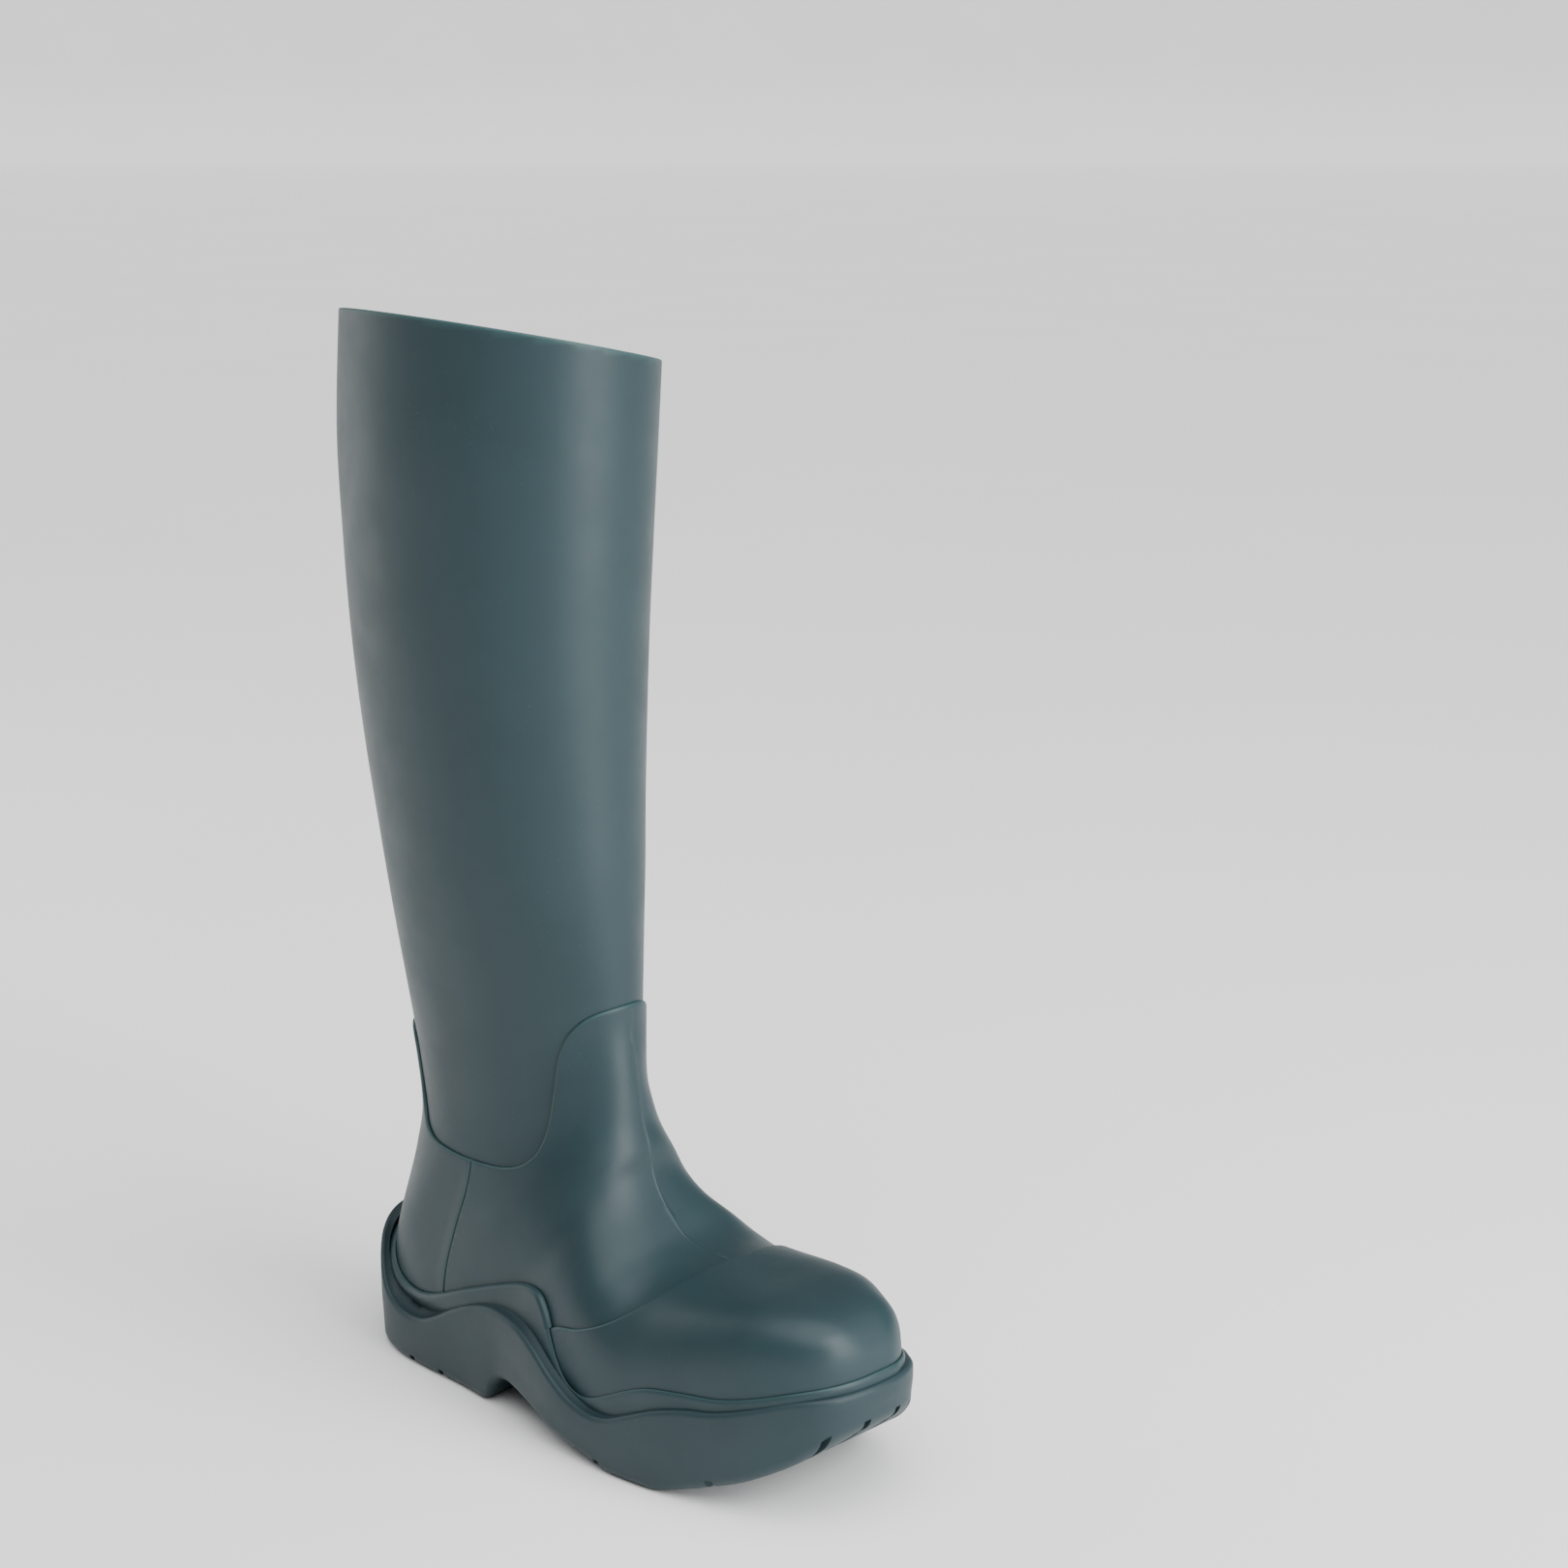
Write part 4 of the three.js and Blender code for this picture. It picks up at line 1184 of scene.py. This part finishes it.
def plain_floor_material():
    """A pale, almost even floor."""
    look = Surface("studio floor")
    tone = colours().floor
    cloud = look.ramp(look.noise(3.0, 2.0), 0.3, 0.7)
    look.feed(look.mix(cloud, rgba(tone, 0.985), rgba(tone)), look.shader.inputs["Base Color"])
    look.shader.inputs["Roughness"].default_value = 0.9
    look.shader.inputs["Specular IOR Level"].default_value = 0.1
    return look.material


def area_light(name, place, aim, size, power):
    """A rectangular lamp at a place, turned to its aim."""
    lamp = bpy.data.lights.new(name, "AREA")
    lamp.shape = "RECTANGLE"
    lamp.size, lamp.size_y = size
    lamp.energy = power
    light = bpy.data.objects.new(name, lamp)
    light.location = place
    light.rotation_euler = (Vector(aim) - Vector(place)).to_track_quat("-Z", "Y").to_euler()
    bpy.context.scene.collection.objects.link(light)


def make_floor():
    """A wide pale floor, its far edge turned up past the horizon."""
    turn = math.radians(VIEW_TURN)
    away = Vector((-math.sin(turn), math.cos(turn), 0))
    side = Vector((math.cos(turn), math.sin(turn), 0))
    profile = [(-6.0, 0.0), (12.0, 0.0)]
    profile += [(12 + 0.8 * math.sin(a), 0.8 * (1 - math.cos(a))) for a in np.linspace(0, 1.2, 9)[1:]]
    profile.append((13.2, 1.2))
    points, faces = [], []
    for run, rise in profile:
        for reach in (-9.0, 9.0):
            points.append(away * run + side * reach + Vector((0, 0, rise)))
    for i in range(len(profile) - 1):
        a = 2 * i
        faces.append((a, a + 1, a + 3, a + 2))
    mesh = bpy.data.meshes.new("studio floor")
    mesh.from_pydata([tuple(p) for p in points], [], faces)
    mesh.polygons.foreach_set("use_smooth", np.ones(len(mesh.polygons), bool))
    mesh.materials.append(plain_floor_material())
    floor = bpy.data.objects.new("studio_floor", mesh)
    bpy.context.scene.collection.objects.link(floor)


VIEW_TURN = 44.39
CAMERA_DOWN = 14.177
CAMERA_PLACE = (895.0, -823.6, 583.8)
CAMERA_LENS = 69.22


def make_camera():
    camera = bpy.data.objects.new("camera", bpy.data.cameras.new("camera"))
    camera.data.sensor_width = 36
    camera.data.lens = CAMERA_LENS
    camera.data.clip_start, camera.data.clip_end = 0.05, 50
    camera.location = Vector((np.array(CAMERA_PLACE) + SHIFT) * MM)
    turn, down = math.radians(VIEW_TURN), math.radians(CAMERA_DOWN)
    ahead = Vector((-math.sin(turn) * math.cos(down), math.cos(turn) * math.cos(down), -math.sin(down)))
    camera.rotation_euler = ahead.to_track_quat("-Z", "Y").to_euler()
    bpy.context.scene.collection.objects.link(camera)
    bpy.context.scene.camera = camera


def in_studio(right, toward, up):
    """A place given from the camera's side: metres to its right, toward it, and up."""
    turn = math.radians(VIEW_TURN)
    x = right * math.cos(turn) + toward * math.sin(turn)
    y = right * math.sin(turn) - toward * math.cos(turn)
    return (x, y, up)


def overhead_light(strength):
    """A very soft light from above, as a sun that fills most of the sky."""
    sky = bpy.data.lights.new("overhead", "SUN")
    sky.energy, sky.angle = strength, math.radians(75)
    overhead = bpy.data.objects.new("overhead", sky)
    overhead.rotation_euler = Vector(in_studio(-0.15, -0.3, -1)).to_track_quat("-Z", "Y").to_euler()
    bpy.context.scene.collection.objects.link(overhead)


def studio_air(strength):
    """Even white light from all round."""
    world = bpy.data.worlds.new("studio air")
    world.use_nodes = True
    background = world.node_tree.nodes["Background"]
    background.inputs["Color"].default_value = (1, 1, 1, 1)
    background.inputs["Strength"].default_value = strength
    bpy.context.scene.world = world


def make_stage():
    make_floor()
    make_camera()
    looks = colours()
    mid_boot = (0, 0, 0.22)
    area_light("key", in_studio(1.35, 1.0, 0.75), mid_boot, (1.2, 1.7), looks.key_power)
    area_light("rim", in_studio(-1.5, -0.8, 0.7), mid_boot, (0.8, 1.6), looks.rim_power)
    overhead_light(looks.overhead)
    studio_air(looks.air)


# ---- the add-on -----------------------------------------------------------------------------

def length(name, description, default):
    """A panel value in metres."""
    return bpy.props.FloatProperty(name=name, description=description, default=default,
                                   min=0.0, unit="LENGTH", subtype="DISTANCE", precision=5)


def tint(name, description, default):
    """A panel value that is a colour."""
    return bpy.props.FloatVectorProperty(name=name, description=description, default=default,
                                         size=3, min=0.0, max=1.0, subtype="COLOR")


def number(name, description, default):
    """A panel value without a unit."""
    return bpy.props.FloatProperty(name=name, description=description, default=default, min=0.0)


class RainBootSizes(bpy.types.PropertyGroup):
    spacing: length("Mesh spacing", "Distance between rings of the sheets", 0.0028)
    around: bpy.props.IntProperty(name="Around", description="Points round each ring", default=144, min=24)
    rim_round: length("Rim round", "Radius of the rounded rim of the leg", 0.0010)
    lap_round: length("Lap round", "Radius of the rounded edges of laps", 0.0011)
    quarter_lap: length("Quarter lap", "How far the front edge of the quarter stands proud", 0.00035)
    rand_round: length("Rand round", "Radius of the rounded top edge of the rand", 0.0022)
    lip_round: length("Lip round", "Radius of the rounded lip of the outsole", 0.0026)
    groove_width: length("Groove width", "Width of the grooves across the tread", 0.0034)
    groove_depth: length("Groove depth", "Depth of the grooves across the tread", 0.0038)
    mould_line: length("Mould line", "Half width of the line where the mould halves met", 0.0005)
    tread_lines: bpy.props.IntProperty(name="Tread lines", description="Fine lines under the sole",
                                       default=12, min=0)
    tread_line_step: length("Tread line step", "Distance between the fine lines", 0.0055)


class RainBootLooks(bpy.types.PropertyGroup):
    upper: tint("Upper rubber", "Colour of the leg and foot sheets", (0.0120, 0.0315, 0.0375))
    sole: tint("Sole rubber", "Colour of the outsole", (0.0115, 0.0285, 0.0345))
    # Colour of the highlight painted along the rounded edges of the rubber sheets.
    edge_highlight: tint("Edge highlight", "Colour of the highlight painted along rubber edges", (0.036, 0.088, 0.088))
    lining: tint("Lining", "Colour of the knit lining", (0.012, 0.022, 0.022))
    floor: tint("Floor", "Colour of the studio floor", (0.93, 0.93, 0.93))
    upper_roughness: number("Upper roughness", "Roughness of the upper rubber", 0.45)
    sole_roughness: number("Sole roughness", "Roughness of the sole rubber", 0.50)
    key_power: number("Key light", "Power of the wide light at the right, in watts", 50.0)
    rim_power: number("Rim light", "Power of the light behind the left side, in watts", 8.0)
    overhead: number("Overhead", "Strength of the soft light from above", 3.6)
    air: number("Air", "Strength of the even light from all round", 0.25)


class RAINBOOT_OT_leg_shaft(bpy.types.Operator):
    """Build the leg: one rubber sheet from the ankle lap to the slanting rim"""
    bl_idname = "rain_boot.leg_shaft"
    bl_label = "Leg shaft"

    def execute(self, context):
        make_leg_shaft()
        return {"FINISHED"}


class RAINBOOT_OT_foot_sheets(bpy.types.Operator):
    """Build the vamp and the heel quarter that laps over it"""
    bl_idname = "rain_boot.foot_sheets"
    bl_label = "Vamp and heel quarter"

    def execute(self, context):
        make_vamp()
        make_heel_quarter()
        return {"FINISHED"}


class RAINBOOT_OT_toe_cap(bpy.types.Operator):
    """Build the toe cap that lies on the vamp"""
    bl_idname = "rain_boot.toe_cap"
    bl_label = "Toe cap"

    def execute(self, context):
        make_toe_cap()
        return {"FINISHED"}


class RAINBOOT_OT_rand(bpy.types.Operator):
    """Build the wavy rand strip round the join of upper and sole"""
    bl_idname = "rain_boot.rand"
    bl_label = "Rand"

    def execute(self, context):
        make_rand()
        return {"FINISHED"}


class RAINBOOT_OT_outsole(bpy.types.Operator):
    """Build the cup outsole with its grooves and tread lines"""
    bl_idname = "rain_boot.outsole"
    bl_label = "Outsole"

    def execute(self, context):
        make_outsole()
        return {"FINISHED"}


class RAINBOOT_OT_linings(bpy.types.Operator):
    """Build the knit linings of the leg and the foot"""
    bl_idname = "rain_boot.linings"
    bl_label = "Linings"

    def execute(self, context):
        make_leg_lining()
        make_foot_lining()
        return {"FINISHED"}


class RAINBOOT_OT_footbed(bpy.types.Operator):
    """Build the loose footbed and its knit cover"""
    bl_idname = "rain_boot.footbed"
    bl_label = "Footbed and cover"

    def execute(self, context):
        make_footbed()
        make_footbed_cover()
        return {"FINISHED"}


class RAINBOOT_OT_inner_parts(bpy.types.Operator):
    """Give the board, stiffeners, filler and shank their finished materials"""
    bl_idname = "rain_boot.inner_parts"
    bl_label = "Inner parts"

    def execute(self, context):
        better_looks()
        return {"FINISHED"}


class RAINBOOT_OT_stage(bpy.types.Operator):
    """Set up the floor, the camera and the lights"""
    bl_idname = "rain_boot.stage"
    bl_label = "Studio"

    def execute(self, context):
        make_stage()
        return {"FINISHED"}


STEPS = (
    RAINBOOT_OT_leg_shaft, RAINBOOT_OT_foot_sheets, RAINBOOT_OT_toe_cap, RAINBOOT_OT_rand,
    RAINBOOT_OT_outsole, RAINBOOT_OT_linings, RAINBOOT_OT_footbed, RAINBOOT_OT_inner_parts,
    RAINBOOT_OT_stage,
)


class RAINBOOT_PT_panel(bpy.types.Panel):
    """Sizes, looks and building steps of the rain boot"""
    bl_idname = "RAINBOOT_PT_panel"
    bl_label = "Rain Boot"
    bl_space_type = "VIEW_3D"
    bl_region_type = "UI"
    bl_category = "Rain Boot"

    def draw(self, context):
        layout = self.layout
        for title, group in (("Sizes", context.scene.rain_boot_sizes),
                             ("Looks", context.scene.rain_boot_looks)):
            box = layout.box()
            box.label(text=title)
            for name in group.bl_rna.properties.keys():
                if name not in ("rna_type", "name"):
                    box.prop(group, name)
        for step in STEPS:
            layout.operator(step.bl_idname)


CLASSES = (RainBootSizes, RainBootLooks, *STEPS, RAINBOOT_PT_panel)


def register():
    for cls in CLASSES:
        bpy.utils.register_class(cls)
    bpy.types.Scene.rain_boot_sizes = bpy.props.PointerProperty(type=RainBootSizes)
    bpy.types.Scene.rain_boot_looks = bpy.props.PointerProperty(type=RainBootLooks)


def unregister():
    del bpy.types.Scene.rain_boot_looks
    del bpy.types.Scene.rain_boot_sizes
    for cls in reversed(CLASSES):
        bpy.utils.unregister_class(cls)


def main():
    register()
    bpy.ops.rain_boot.leg_shaft()
    bpy.ops.rain_boot.foot_sheets()
    bpy.ops.rain_boot.toe_cap()
    bpy.ops.rain_boot.rand()
    bpy.ops.rain_boot.outsole()
    bpy.ops.rain_boot.linings()
    bpy.ops.rain_boot.footbed()
    bpy.ops.rain_boot.inner_parts()
    bpy.ops.rain_boot.stage()


if __name__ == "__main__":
    main()
